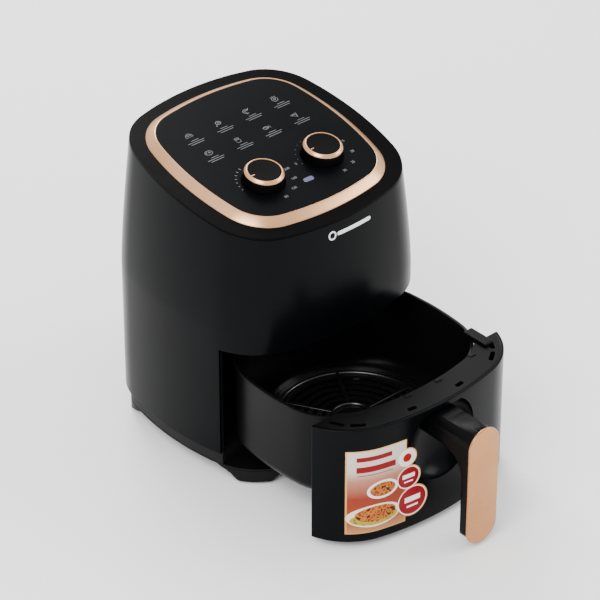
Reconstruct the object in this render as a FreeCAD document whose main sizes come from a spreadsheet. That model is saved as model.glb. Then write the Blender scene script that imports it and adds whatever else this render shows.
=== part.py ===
import FreeCAD, Part
import math
import os
import re
import Sketcher
from FreeCAD import Placement, Rotation, Vector

# Basket air fryer with an analogue control top.
# Frame: +X right, -Y front, +Z up; the origin is on the table under the middle of the housing.
# All drawer pieces are modelled with the drawer shut, and their placement draws them out.

SIZES = [
    # name, value in millimetres or degrees, meaning
    ("pan_half_width", 111, "outside of the pan's wall, across"),
    ("pan_half_depth", 93.5, "outside of the pan's wall, front to back"),
    ("pan_height", 96, "pan floor's underside to rim"),
    ("pan_wall", 1.2, "pressed steel of the pan"),
    ("pan_lip", 2.5, "rolled rim beyond the pan's wall"),
    ("pan_corner", 60, "plan radius of the pan's corners"),
    ("pan_floor_radius", 14, "radius between the pan's wall and floor"),
    ("pan_back_shift", 4, "pan's middle behind the housing's middle"),
    ("pan_gap", 3.5, "from the pan's lip to the cavity liner"),
    ("liner_wall", 1.2, "sheet of the cavity liner"),
    ("side_space", 8.8, "air between liner and shell, each side"),
    ("front_depth", 28, "from the pan's lip to the front panel's face"),
    ("shell_wall", 3, "moulded shell"),
    ("crown", 300, "plan radius of every slightly bowed side"),
    ("corner", 70, "plan radius of the shell's corners"),
    ("pad_height", 3, "rubber foot pads"),
    ("foot_height", 12.5, "feet above the pads"),
    ("foot_spread_x", 86, "foot centres across"),
    ("foot_spread_y", 82, "foot centres front to back"),
    ("foot_top_radius", 38, "foot where it joins the base"),
    ("foot_bottom_radius", 25, "foot at its sole"),
    ("base_plate", 3, "floor of the base"),
    ("base_height", 18.5, "base from its underside to the shell"),
    ("base_inset", 4.5, "base inside the shell's outline"),
    ("floor_gap", 1, "shell's lower edge to the liner"),
    ("drawer_clearance", 18.8, "liner floor to the pan when shut"),
    ("drawer_out", 134, "how far the drawer stands out"),
    ("drawer_drop", 17, "how much it sinks on the way"),
    ("opening_half_y", 71, "opening plane in front of the housing's middle"),
    ("panel_rise", 5.5, "front panel's top above the pan's rim"),
    ("panel_skirt", 8, "front panel's bottom below the shell"),
    ("panel_wall", 3.5, "front panel"),
    ("panel_gap", 1.2, "gap round the shut front panel"),
    ("ceiling_gap", 12, "opening's top edge to the pan's rim, with the liner's top"),
    ("chamber_height", 50, "heating chamber above the liner"),
    ("reflector_radius", 92, "inside of the heat reflector"),
    ("coil_radius", 70, "heater's outer turn"),
    ("tube_radius", 3.2, "heater tube"),
    ("hot_fan_radius", 62, "fan in the chamber"),
    ("cool_fan_radius", 66, "fan above the reflector"),
    ("shaft_radius", 4, "motor shaft"),
    ("shaft_play", 0.06, "radial running clearance of turning shafts"),
    ("motor_radius", 32, "motor can"),
    ("motor_height", 26, "motor can"),
    ("head_room", 37.7, "motor's top to the top's plane"),
    ("shoulder", 176, "height where the shell starts to draw in"),
    ("side_draw", 11.6, "how far each side draws in at the top"),
    ("front_draw", 13, "how far the front draws in at the top"),
    ("rear_draw", 8.6, "how far the back draws in at the top"),
    ("draw_power", 1.35, "how quickly the sides curve in"),
    ("top_tilt", 10.3, "slope of the control top in degrees"),
    ("top_corner", 55, "plan radius of the top's corners"),
    ("frame_thick", 8, "top frame"),
    ("frame_edge", 3, "rounding of the top frame's outer edge"),
    ("ring_inset", 17.2, "trim ring inside the top's outline"),
    ("ring_band", 9.4, "width of the trim ring's sloped band"),
    ("ring_rise", 6.8, "height of the trim ring's band"),
    ("panel_play", 0.3, "gap round the control panel"),
    ("knob_spread", 37.7, "knob centres from the middle line"),
    ("knob_forward", 39.5, "knob centres in front of the top's middle"),
    ("knob_base_radius", 22, "knob at its foot"),
    ("knob_top_radius", 19.8, "knob at its crown"),
    ("knob_height", 9.4, "knob's black cone"),
    ("knob_lift", 0.6, "gap under a knob"),
    ("knob_ring_rise", 3.2, "bright ring above the cone"),
    ("knob_cap_radius", 15.4, "cap inside the bright ring"),
    ("stem_radius", 3, "control shafts"),
    ("bushing_radius", 5, "threaded neck of each control"),
    ("control_size", 36, "square bodies of thermostat and timer"),
    ("control_depth", 20, "depth of those bodies"),
    ("handle_reach", 56, "handle's face in front of the front panel"),
    ("handle_width", 34, "black body of the handle"),
    ("handle_face_width", 39, "metallic face of the handle"),
    ("handle_length", 133, "handle's face"),
    ("handle_face_thick", 3.5, "metallic face of the handle"),
    ("grip_depth", 13, "black grip behind the face"),
    ("arm_height", 26, "arm from the panel to the grip"),
    ("scoop_half_width", 43, "finger scoop behind the handle"),
    ("scoop_depth", 22, "finger scoop into the panel"),
    ("scoop_drop", 88, "finger scoop below the panel's lip"),
    ("tray_radius", 88, "crisper tray"),
    ("tray_lift_height", 12, "crisper tray above the pan's floor"),
    ("tray_thick", 2, "crisper tray's plate"),
    ("gland_radius", 8, "cord gland's neck"),
    ("gland_bore", 3.6, "cord gland's bore radius"),
    ("gland_length", 20, "cord gland's bore"),
    ("gland_height", 62, "cord gland above the table"),
    ("gland_side", 60, "cord gland beside the middle line"),
    ("vent_width", 92, "rear air outlet"),
    ("vent_height", 50, "rear air outlet"),
    ("screw_radius", 2, "small screws"),
    ("screw_head_radius", 3.6, "their heads"),
]

# Sizes that follow from the ones above. Each text may use any name in either list.
DERIVED = {
    "lip_half_width": "pan_half_width + pan_lip",
    "lip_half_depth": "pan_half_depth + pan_lip",
    "cavity_half_width": "lip_half_width + pan_gap",
    "cavity_half_depth": "lip_half_depth + pan_gap",
    "liner_half_width": "cavity_half_width + liner_wall",
    "liner_half_depth": "cavity_half_depth + liner_wall",
    "half_width": "liner_half_width + side_space + shell_wall + 1",
    "half_depth": "lip_half_depth - pan_back_shift + front_depth + 6",
    "base_z": "pad_height + foot_height",
    "shell_z": "base_z + base_height",
    "floor_z": "shell_z + floor_gap",
    "cavity_z": "floor_z + liner_wall",
    "pan_z": "cavity_z + drawer_clearance",
    "rim_z": "pan_z + pan_height",
    "panel_top": "rim_z + panel_rise",
    "panel_bottom": "shell_z - panel_skirt",
    "opening_z": "panel_top + panel_gap",
    "liner_top": "rim_z + ceiling_gap + 1.5",
    "chamber_z": "liner_top + liner_wall",
    "reflector_top": "chamber_z + chamber_height",
    "cool_fan_z": "reflector_top + 5",
    "motor_z": "reflector_top + 22",
    "motor_top": "motor_z + motor_height",
    "top_z": "motor_top + head_room",
    "top_half_width": "half_width - side_draw",
    "top_half_depth": "half_depth - 10",
    "ring_half_width": "top_half_width - ring_inset",
    "ring_half_depth": "ring_half_width + 1",
    "panel_half_width": "ring_half_width - ring_band - panel_play",
    "panel_half_depth": "ring_half_depth - ring_band - panel_play",
    "panel_under": "ring_rise - 2.5",
    "knob_z": "ring_rise + knob_lift",
    "knob_ring_z": "knob_z + knob_height",
    "front_y": "-half_depth",
    "opening_y": "-opening_half_y",
    "handle_y": "-half_depth - handle_reach",
    "handle_top": "panel_top - 2.5",
    "grip_y": "handle_y + handle_face_thick",
    "arm_top": "panel_top - 8",
    "tray_z": "pan_z + pan_wall + tray_lift_height",
    "stem_bore": "stem_radius + shaft_play",
}

# Which nodes ride out with the drawer, and which lie in the sloping plane of the top.
DRAWER = "0", "-drawer_out", "-drawer_drop"
WORDS = re.compile(r"[a-z][a-z_]*")
doc = FreeCAD.newDocument("air_fryer")
nodes = []


def make_sheet():
    made = doc.addObject("Spreadsheet::Sheet", "Sizes")
    for row, (name, value, meaning) in enumerate(SIZES, 1):
        made.set(f"A{row}", name)
        made.set(f"B{row}", str(value))
        made.set(f"C{row}", meaning)
        made.setAlias(f"B{row}", name)
    doc.recompute()
    return made


sheet = make_sheet()
KNOWN = {name for name, _, _ in SIZES}


def formula(text):
    """A sheet expression from plain size names."""

    def swap(match):
        word = match.group(0)
        if word in DERIVED:
            return f"({formula(DERIVED[word])})"
        return f"Sizes.{word}" if word in KNOWN else word

    return WORDS.sub(swap, str(text))


def number(text):
    found = sheet.evalExpression(formula(text))
    return float(getattr(found, "Value", found))


def bind(obj, **texts):
    for prop, text in texts.items():
        obj.setExpression(prop.replace("__", "."), formula(text))
    return obj


def move(obj, x="0", y="0", z="0"):
    return bind(obj, Placement__Base__x=x, Placement__Base__y=y, Placement__Base__z=z)


def tilt_to_top(obj):
    """Lays a piece that was modelled flat on the sloping plane of the top."""
    obj.Placement = Placement(Vector(0, 0, 0), Rotation(Vector(1, 0, 0), number("top_tilt")))
    bind(obj, Placement__Rotation__Angle="top_tilt")
    return move(obj, z="top_z")


def node(name, obj, drawer=False, top=False):
    """Names a finished piece. A moved piece is wrapped, so that its maker still lies where it was drawn."""
    if drawer:
        obj = move(group(f"{name}_drawn_out", obj), *DRAWER)
    if top:
        obj = tilt_to_top(group(f"{name}_on_top", obj))
    obj.Label = name
    nodes.append((name, obj))
    return obj


# ---- primitives, each bound to the sheet ----


def block(name, x, y, z):
    made = doc.addObject("Part::Box", name)
    bind(made, Length=f"({x[1]}) - ({x[0]})", Width=f"({y[1]}) - ({y[0]})", Height=f"({z[1]}) - ({z[0]})")
    return move(made, x[0], y[0], z[0])


def rod(name, radius, z, x="0", y="0"):
    made = doc.addObject("Part::Cylinder", name)
    bind(made, Radius=radius, Height=f"({z[1]}) - ({z[0]})")
    return move(made, x, y, z[0])


def rod_along(name, radius, axis, span, a="0", b="0"):
    """A cylinder along X or Y; a and b are its place on the other two axes, in order."""
    made = doc.addObject("Part::Cylinder", name)
    turn = Rotation(Vector(0, 1, 0), 90) if axis == "x" else Rotation(Vector(1, 0, 0), -90)
    made.Placement = Placement(Vector(0, 0, 0), turn)
    bind(made, Radius=radius, Height=f"({span[1]}) - ({span[0]})")
    return move(made, span[0], a, b) if axis == "x" else move(made, a, span[0], b)


def cone(name, low_radius, high_radius, z, x="0", y="0"):
    made = doc.addObject("Part::Cone", name)
    bind(made, Radius1=low_radius, Radius2=high_radius, Height=f"({z[1]}) - ({z[0]})")
    return move(made, x, y, z[0])


def spoke(name, angle, start, end, half, z, y="0"):
    """A bar from radius start to end, turned by angle about an upright axis at y."""
    made = doc.addObject("Part::Box", name)
    made.Placement = Placement(Vector(0, 0, 0), Rotation(Vector(0, 0, 1), angle))
    bind(made, Length=f"({end}) - ({start})", Width=f"2 * {half}", Height=f"({z[1]}) - ({z[0]})")
    across, along = f"cos({angle} * 1deg)", f"sin({angle} * 1deg)"
    return move(made, f"({start}) * {across} + {half} * {along}",
                f"({start}) * {along} - {half} * {across} + {y}", z[0])


def torus(name, ring_radius, tube, z, x="0", y="0"):
    made = doc.addObject("Part::Torus", name)
    bind(made, Radius1=ring_radius, Radius2=tube)
    return move(made, x, y, z)


def fuse(name, *parts):
    if len(parts) == 1:
        return parts[0]
    made = doc.addObject("Part::MultiFuse", name)
    made.Shapes = list(parts)
    made.Refine = True
    return made


def group(name, *parts):
    """Separate solids that share one node."""
    made = doc.addObject("Part::Compound", name)
    made.Links = list(parts)
    return made


def cut(name, base, *tools):
    made = doc.addObject("Part::Cut", name)
    made.Base = base
    made.Tool = fuse(name + "_tools", *tools)
    made.Refine = True
    return made


def common(name, *parts):
    made = doc.addObject("Part::MultiCommon", name)
    made.Shapes = list(parts)
    made.Refine = True
    return made


def tube(name, outer, inner, z, x="0", y="0"):
    return cut(name, rod(name + "_out", outer, z, x, y), rod(name + "_in", inner, z, x, y))


# ---- the bowed square outline that shell, pan and top share ----


def bowed_arcs(half_x, half_y, crown, corner):
    """Eight tangent arcs: four shallow sides and four corners."""
    ax, ay = half_x - crown, half_y - crown
    low, high = 0.0, min(half_x, half_y)
    for _ in range(60):
        cx = (low + high) / 2
        cy = (2 * ax * cx - ax * ax + ay * ay) / (2 * ay)
        if (cx - ax) ** 2 + cy**2 > (crown - corner) ** 2:
            high = cx
        else:
            low = cx
    turn_a = math.atan2(cy, cx - ax)
    turn_b = math.atan2(cy - ay, cx)
    sides = [(ax, 0, -turn_a), (0, ay, turn_b), (-ax, 0, math.pi - turn_a), (0, -ay, math.pi + turn_b)]
    ends = [turn_a, math.pi - turn_b, math.pi + turn_a, 2 * math.pi - turn_b]
    corners = [(cx, cy), (-cx, cy), (-cx, -cy), (cx, -cy)]
    arcs = []
    for i, (x, y, start) in enumerate(sides):
        arcs.append((x, y, crown, start, ends[i]))
        following = sides[(i + 1) % 4][2] + (2 * math.pi if i == 3 else 0)
        arcs.append((*corners[i], corner, ends[i], following))
    return [
        Part.ArcOfCircle(Part.Circle(Vector(x, y, 0), Vector(0, 0, 1), r), a, b) for x, y, r, a, b in arcs
    ]


def bowed_sketch(sketch, half_x, half_y, corner, crown="crown"):
    values = number(half_x), number(half_y), number(crown), number(corner)
    sketch.addGeometry(bowed_arcs(*values))
    rules = [Sketcher.Constraint("Tangent", i, 2, (i + 1) % 8, 1) for i in range(8)]
    rules += [Sketcher.Constraint("PointOnObject", i, 3, -1) for i in (0, 4)]
    rules += [Sketcher.Constraint("PointOnObject", i, 3, -2) for i in (2, 6)]
    rules += [Sketcher.Constraint("Equal", 0, i) for i in (2, 4, 6)]
    rules += [Sketcher.Constraint("Equal", 1, i) for i in (3, 5, 7)]
    sketch.addConstraint(rules)
    back_x, back_y = values[2] - values[0], values[2] - values[1]
    sized = [
        ("crown", ("Radius", 0, values[2]), crown),
        ("corner", ("Radius", 1, values[3]), corner),
        ("right", ("DistanceX", 0, 3, -1, 1, back_x), f"({crown}) - ({half_x})"),
        ("left", ("DistanceX", -1, 1, 4, 3, back_x), f"({crown}) - ({half_x})"),
        ("back", ("DistanceY", 2, 3, -1, 1, back_y), f"({crown}) - ({half_y})"),
        ("front", ("DistanceY", -1, 1, 6, 3, back_y), f"({crown}) - ({half_y})"),
    ]
    for name, rule, text in sized:
        at = sketch.addConstraint(Sketcher.Constraint(*rule))
        sketch.renameConstraint(at, name)
        sketch.setExpression(f"Constraints.{name}", formula(text))
    return sketch


def bowed_outline(name, half_x, half_y, corner, z, y="0"):
    sketch = bowed_sketch(doc.addObject("Sketcher::SketchObject", name), half_x, half_y, corner)
    return move(sketch, "0", y, z)


def bowed_slab(name, half_x, half_y, corner, z, y="0"):
    """The outline drawn up from z[0] to z[1]."""
    made = doc.addObject("Part::Extrusion", name)
    made.Base = bowed_outline(name + "_outline", half_x, half_y, corner, z[0], y)
    made.DirMode = "Custom"
    made.Dir = Vector(0, 0, 1)
    made.Solid = True
    return bind(made, LengthFwd=f"({z[1]}) - ({z[0]})")


def bowed_loft(name, sections):
    """A solid through outlines of (half_x, half_y, corner, z, y)."""
    made = doc.addObject("Part::Loft", name)
    made.Sections = [bowed_outline(f"{name}_{i}", *s) for i, s in enumerate(sections)]
    made.Solid = True
    return made


# ---- PartDesign helpers ----


def plane_of(body, role):
    return next(f for f in body.Origin.OriginFeatures if f.Role == role)


def body_sketch(body, name, role="XY_Plane", lift="0"):
    sketch = body.newObject("Sketcher::SketchObject", name)
    sketch.AttachmentSupport = [(plane_of(body, role), "")]
    sketch.MapMode = "FlatFace"
    return bind(sketch, AttachmentOffset__Base__z=lift)


def outline(sketch, points):
    """A closed run of straight lines; each point is a pair of formulas."""
    at = [Vector(number(x), number(y), 0) for x, y in points]
    count = len(at)
    sketch.addGeometry([Part.LineSegment(at[i], at[(i + 1) % count]) for i in range(count)])
    sketch.addConstraint([Sketcher.Constraint("Coincident", i, 2, (i + 1) % count,
                                              1) for i in range(count)])
    for i, (x, y) in enumerate(points):
        for kind, text, value in (("DistanceX", x, at[i].x), ("DistanceY", y, at[i].y)):
            rule = sketch.addConstraint(Sketcher.Constraint(kind, -1, 1, i, 1, value))
            sketch.renameConstraint(rule, f"{kind[-1].lower()}{i}")
            sketch.setExpression(f"Constraints.{kind[-1].lower()}{i}", formula(text))
    return sketch


def revolved(name, points):
    """A turned piece: points are (radius, height) pairs about the Z axis."""
    body = doc.addObject("PartDesign::Body", name)
    sketch = outline(body_sketch(body, name + "_profile", "XZ_Plane"), points)
    turn = body.newObject("PartDesign::Revolution", name + "_turn")
    turn.Profile = sketch
    turn.ReferenceAxis = (sketch, ["V_Axis"])
    turn.Angle = 360
    return body


def padded(body, sketch, length, middle=False):
    pad = body.newObject("PartDesign::Pad", sketch.Name + "_pad")
    pad.Profile = sketch
    if middle:
        pad.SideType = "Symmetric"
    return bind(pad, Length=length)


def fillet(body, base, edges, radius):
    made = body.newObject("PartDesign::Fillet", base.Name + "_rounding")
    made.Base = (base, edges)
    return bind(made, Radius=radius)


def edges_where(obj, test):
    doc.recompute()
    return [f"Edge{i}" for i, e in enumerate(obj.Shape.Edges, 1) if test(e)]


def level_edge(z):
    return lambda e: all(abs(v.Point.z - z) < 0.01 for v in e.Vertexes) and abs(e.CenterOfMass.z - z) < 0.01


# ---- base and feet ----


def corners(x, y):
    return [(f"{a}({x})", f"{b}({y})") for a in ("-", "") for b in ("-", "")]


def make_base():
    half_x, half_y = "half_width - base_inset", "half_depth - base_inset"
    plate = bowed_slab("base_floor", half_x, half_y, "corner", ("base_z", "base_z + base_plate"))
    rim = cut(
        "base_rim",
        bowed_slab("base_rim_out", half_x, half_y, "corner", ("base_z + base_plate", "shell_z")),
        bowed_slab(
            "base_rim_in", f"{half_x} - shell_wall", f"{half_y} - shell_wall", "corner - shell_wall",
            ("base_z + base_plate", "shell_z"),
        ),
        block(
            "base_rim_front", ("-half_width", "half_width"), ("-half_depth - 5", "opening_y + 1.5"),
            ("base_z + base_plate", "shell_z"),
        ),
    )
    sill_half = "half_width - base_inset - 12"
    sill = block(
        "base_sill", (f"-({sill_half})", sill_half), ("opening_y + 1.5", "opening_y + 4.5"),
        ("base_z + base_plate", "floor_z"),
    )
    ledge = cut(
        "base_ledge",
        bowed_slab("ledge_out", "half_width - 2", "half_depth - 2", "corner - 2",
                   ("shell_z - 1.5", "shell_z")),
        bowed_slab("ledge_in", f"{half_x} - 1", f"{half_y} - 1", "corner - 1",
                   ("shell_z - 2", "shell_z + 1")),
        block(
            "ledge_front", ("-half_width", "half_width"), ("-half_depth - 5", "opening_y + 1.5"),
            ("shell_z - 2", "shell_z + 1"),
        ),
    )
    limit = bowed_slab("foot_limit", half_x, half_y, "corner", ("pad_height", "base_z"))
    feet = [
        cone(f"foot_{i}", "foot_bottom_radius", "foot_top_radius", ("pad_height", "base_z"), x, y)
        for i, (x, y) in enumerate(corners("foot_spread_x", "foot_spread_y"))
    ]
    feet = common("feet", fuse("foot_cones", *feet), limit)
    holes = [
        rod(f"base_hole_{i}", "screw_radius + 0.1", ("base_z - 1", "base_z + base_plate + 1"), x, y)
        for i, (x, y) in enumerate(corners("foot_spread_x - 42", "foot_spread_y - 30"))
    ]
    node("base", cut("base_body", fuse("base_solid", plate, rim, ledge, sill, feet), *holes))
    pads = [
        rod(f"pad_{i}", "foot_bottom_radius / 2", ("0", "pad_height"), x, y)
        for i, (x, y) in enumerate(corners("foot_spread_x", "foot_spread_y"))
    ]
    node("foot_pads", group("pads", *pads))


# ---- shell and its opening ----


def shell_section(z, wall="0"):
    """One outline of the shell at height z; it draws in above the shoulder."""
    share = f"(max(0; ({z}) - shoulder) / (top_z - shoulder)) ^ draw_power"
    half_x = f"half_width - side_draw * {share} - {wall}"
    half_y = f"half_depth - (front_draw + rear_draw) / 2 * {share} - {wall}"
    shift = f"(front_draw - rear_draw) / 2 * {share}"
    return half_x, half_y, f"corner - 10 * {share} - {wall}", z, shift


def shell_solid(name, wall):
    """Straight up to the shoulder, then drawn in through a few outlines."""
    heights = [f"shoulder + (top_z - shoulder) * {share}" for share in (0, 0.15, 0.3, 0.5, 0.7, 0.9)]
    heights.append("top_z + half_depth * 0.22")
    upper = bowed_loft(f"{name}_upper", [shell_section(z, wall) for z in heights])
    inset = f"half_width - {wall}", f"half_depth - {wall}", f"corner - {wall}"
    return fuse(name, bowed_slab(f"{name}_lower", *inset, ("shell_z", "shoulder")), upper)


def top_cutter(name, drop):
    """Everything above the sloping top's plane, lowered by drop along its normal."""
    made = doc.addObject("Part::Box", name)
    bind(made, Length="half_width * 4", Width="half_depth * 4", Height="half_depth * 2")
    made.Placement = Placement(Vector(0, 0, 0), Rotation(Vector(1, 0, 0), number("top_tilt")))
    bind(made, Placement__Rotation__Angle="top_tilt")
    # the box's corner, found by sliding back along the sloping plane
    back, fall = "half_depth * 2", drop
    return move(
        made, "-half_width * 2",
        f"-({back}) * cos(top_tilt * 1deg) + ({fall}) * sin(top_tilt * 1deg)",
        f"top_z - ({back}) * sin(top_tilt * 1deg) - ({fall}) * cos(top_tilt * 1deg)",
    )


def make_shell():
    walls = cut("shell_walls", shell_solid("shell_out", "0"), shell_solid("shell_in", "shell_wall"))
    opening = block(
        "shell_opening", ("-half_width - 5", "half_width + 5"), ("-half_depth - 5", "opening_y"),
        ("shell_z - 5", "opening_z"),
    )
    vent = block(
        "shell_vent", ("-vent_width / 2", "vent_width / 2"), ("half_depth - 30", "half_depth + 5"),
        ("reflector_top - vent_height / 2", "reflector_top + vent_height / 2"),
    )
    gland = rod_along(
        "shell_gland_hole", "gland_radius", "y", ("half_depth - 30", "half_depth + 5"),
        "-gland_side", "gland_height",
    )
    node("outer_shell", cut("shell", walls, top_cutter("shell_top_cut", "frame_thick"), opening, vent,
                            gland))


def make_opening_frame():
    """The fixed wall behind the shut front panel, with the shelf that closes the shell above it."""
    wall, gap = "shell_wall", "0.3"
    inner_x, inner_y = f"half_width - {wall} - {gap}", f"half_depth - {wall} - {gap}"
    plate = common(
        "opening_plate",
        bowed_slab("opening_plate_limit", inner_x, inner_y, f"corner - {wall} - {gap}",
                   ("shell_z", "liner_top")),
        block(
            "opening_plate_slab", ("-half_width", "half_width"), ("opening_y + 0.2", "opening_y + 3.2"),
            ("shell_z", "liner_top"),
        ),
    )
    doorway = block(
        "doorway", ("-cavity_half_width", "cavity_half_width"), ("opening_y - 1", "opening_y + 5"),
        ("shell_z - 1", "liner_top - 1.5"),
    )
    shelf = common(
        "shelf",
        bowed_slab(
            "shelf_limit", inner_x, inner_y, f"corner - {wall} - {gap}", ("liner_top - 1.5", "liner_top")
        ),
        block(
            "shelf_slab", ("-half_width", "half_width"), ("-half_depth", "opening_y + 3.2"),
            ("liner_top - 1.5", "liner_top"),
        ),
    )
    node("opening_frame", fuse("opening_frame_body", cut("opening_rim", plate, doorway), shelf))


# ---- drawer cavity and heating chamber ----


def u_shape(name, half_x, half_y, corner, z, front):
    """A pan-shaped plan whose sides run straight to the front."""
    round_part = bowed_slab(name + "_round", half_x, half_y, corner, z, "pan_back_shift")
    straight = block(name + "_straight", (f"-({half_x})", half_x), (front, "pan_back_shift"), z)
    trim = block(name + "_trim", ("-half_width", "half_width"), ("-half_depth", front), z)
    return cut(name, fuse(name + "_full", round_part, straight), trim)


def make_liner():
    outside = u_shape(
        "liner_out", "liner_half_width", "liner_half_depth", "pan_corner + pan_gap + liner_wall",
        ("floor_z", "liner_top"), "opening_y + 3.2",
    )
    inside = u_shape(
        "liner_in", "cavity_half_width", "cavity_half_depth", "pan_corner + pan_gap",
        ("cavity_z", "liner_top + 1"), "opening_y + 1",
    )
    node("inner_liner", cut("liner", outside, inside))


def make_reflector():
    """A pressed sheet: flat flange over the cavity and a round dome for heater and fan."""
    plan = "liner_half_width", "liner_half_depth", "pan_corner + pan_gap + liner_wall"
    flange = u_shape("flange", *plan, ("liner_top", "chamber_z"), "opening_y + 0.2")
    dome = rod("dome_out", "reflector_radius + liner_wall", ("chamber_z", "reflector_top"), "0",
               "pan_back_shift")
    hollow = rod(
        "dome_in", "reflector_radius", ("liner_top - 1",
                                        "reflector_top - liner_wall"), "0", "pan_back_shift"
    )
    hole = rod("dome_hole", "shaft_radius + 2", ("reflector_top - 5", "reflector_top + 5"), "0",
               "pan_back_shift")
    port = rod("plunger_port", "2.5 + shaft_play", ("liner_top - 1", "chamber_z + 1"), SWITCH_X, SWITCH_Y)
    lead = rod_along("lead_hole", "tube_radius + 0.5", "x", ("reflector_radius - 6",
                                                             "reflector_radius + 6"),
                     "pan_back_shift", "chamber_z + 14")
    node("heat_reflector", cut("reflector", fuse("reflector_out", flange, dome), hollow, hole, port, lead))


SWITCH_X = "cavity_half_width - 19"
SWITCH_Y = "opening_y + 13"


def make_heater():
    rings = [("0", "coil_radius"), ("1", "coil_radius - 13"), ("2", "coil_radius - 26")]
    coil = [
        torus(f"coil_{i}", radius, "tube_radius", "chamber_z + 14", "0",
              "pan_back_shift") for i, radius in rings
    ]
    bridges = [
        rod_along(
            f"coil_bridge_{i}", "tube_radius - 0.5", "x", (f"coil_radius - {13 * (i + 1)}",
                                                     f"coil_radius - {13 * i}"),
            "pan_back_shift", "chamber_z + 14",
        )
        for i in range(2)
    ]
    lead = rod_along(
        "coil_lead", "tube_radius - 0.3", "x", ("coil_radius", "reflector_radius + 12"), "pan_back_shift",
        "chamber_z + 14",
    )
    node("heater_coil", fuse("coil", *coil, *bridges, lead))


def make_heater_clips():
    """Three hangers from the reflector's roof down to a bar over the coil."""
    clips = []
    for i in range(3):
        angle = 60 + 120 * i
        arm = block(f"clip_arm_{i}", ("coil_radius - 30", "coil_radius + 4"), ("-3", "3"),
                    ("chamber_z + 14 + tube_radius", "chamber_z + 15.5 + tube_radius"))
        post = block(f"clip_post_{i}", ("coil_radius + 2.5", "coil_radius + 4"), ("-3", "3"),
                     ("chamber_z + 14 + tube_radius", "reflector_top - liner_wall"))
        clip = fuse(f"clip_{i}", arm, post)
        clip.Placement = Placement(Vector(0, 0, 0), Rotation(Vector(0, 0, 1), angle))
        clips.append(move(clip, y="pan_back_shift"))
    node("heater_clips", group("clips", *clips))


def make_guard():
    """The flat grille that keeps food off the heater."""
    z = "chamber_z + 3", "chamber_z + 4.5"
    rings = [
        tube(f"guard_ring_{i}", f"reflector_radius - {18 * i}", f"reflector_radius - 3 - {18 * i}", z,
             "0", "pan_back_shift")
        for i in range(5)
    ]
    bars = []
    for i in range(3):
        bar = block(f"guard_bar_{i}", ("-reflector_radius + 1.2", "reflector_radius - 1.2"),
                    ("-1.5", "1.5"), z)
        bar = fuse(f"guard_spoke_{i}", bar, rod(f"guard_hub_{i}", "10", z))
        bar.Placement = Placement(Vector(0, 0, 0), Rotation(Vector(0, 0, 1), 60 * i))
        bars.append(move(bar, y="pan_back_shift"))
    node("heater_guard", fuse("guard", *rings, *bars))


# ---- motor, shaft and fans ----


def make_fan(name, radius, z, blades, height, hub):
    """A disc with upright blades round a hub."""
    disc = rod(name + "_disc", radius, (z, f"{z} + 1.2"))
    boss = rod(name + "_boss", hub, (z, f"{z} + {height}"))
    wings = [
        spoke(f"{name}_blade_{i}", 360 / blades * i, "5", f"{radius} - 1", "0.6", (z, f"{z} + {height}"))
        for i in range(blades)
    ]
    bore = rod(name + "_bore", "shaft_radius", (f"{z} - 1", f"{z} + {height} + 1"))
    made = cut(name + "_fan", fuse(name + "_solid", disc, boss, *wings), bore)
    return move(made, y="pan_back_shift")


def make_drive():
    middle = "0", "pan_back_shift"
    node("hot_air_fan", make_fan("hot", "hot_fan_radius", "chamber_z + 26", 8, "14", "9"))
    node("cooling_fan", make_fan("cool", "cool_fan_radius", "cool_fan_z", 10, "10", "9"))
    node("motor_shaft", rod("shaft", "shaft_radius", ("chamber_z + 20", "motor_top + 5"), *middle))
    node("fan_nut", tube("nut", "6.5", "shaft_radius", ("chamber_z + 21", "chamber_z + 26"), *middle))
    can = rod("motor_can", "motor_radius", ("motor_z", "motor_top"), *middle)
    neck = rod("motor_neck", "10", ("motor_z - 2.5", "motor_top + 3"), *middle)
    bore = rod("motor_bore", "shaft_radius + shaft_play", ("motor_z - 5", "motor_top + 6"), *middle)
    node("motor", cut("motor_body", fuse("motor_solid", can, neck), bore))
    foot_x, foot_y = "motor_radius + 46", "motor_radius + 10"
    bridge = block("motor_bridge", (f"-({foot_x})", foot_x), ("-12", "12"), ("motor_z - 2", "motor_z"))
    legs = [
        block(f"motor_leg_{i}", x, ("-12", "12"), ("reflector_top", "motor_z - 2"))
        for i, x in enumerate(((f"-({foot_x})", f"-({foot_x}) + 2"), (f"{foot_x} - 2", foot_x)))
    ]
    open_neck = rod("bridge_hole", "10", ("motor_z - 5", "motor_z + 5"))
    node("motor_bracket", move(cut("bracket", fuse("bracket_solid", bridge, *legs), open_neck),
                               y="pan_back_shift"))
    screws = []
    for i, x in enumerate(("-motor_radius + 8", "motor_radius - 8")):
        screws.append(rod(f"motor_screw_{i}", "screw_head_radius", ("motor_z - 4.4", "motor_z - 2"), x,
                          "pan_back_shift"))
    node("motor_screws", group("motor_screw_set", *screws))


# ---- sloping top: frame, trim ring, panel and lamp, modelled flat ----


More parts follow.
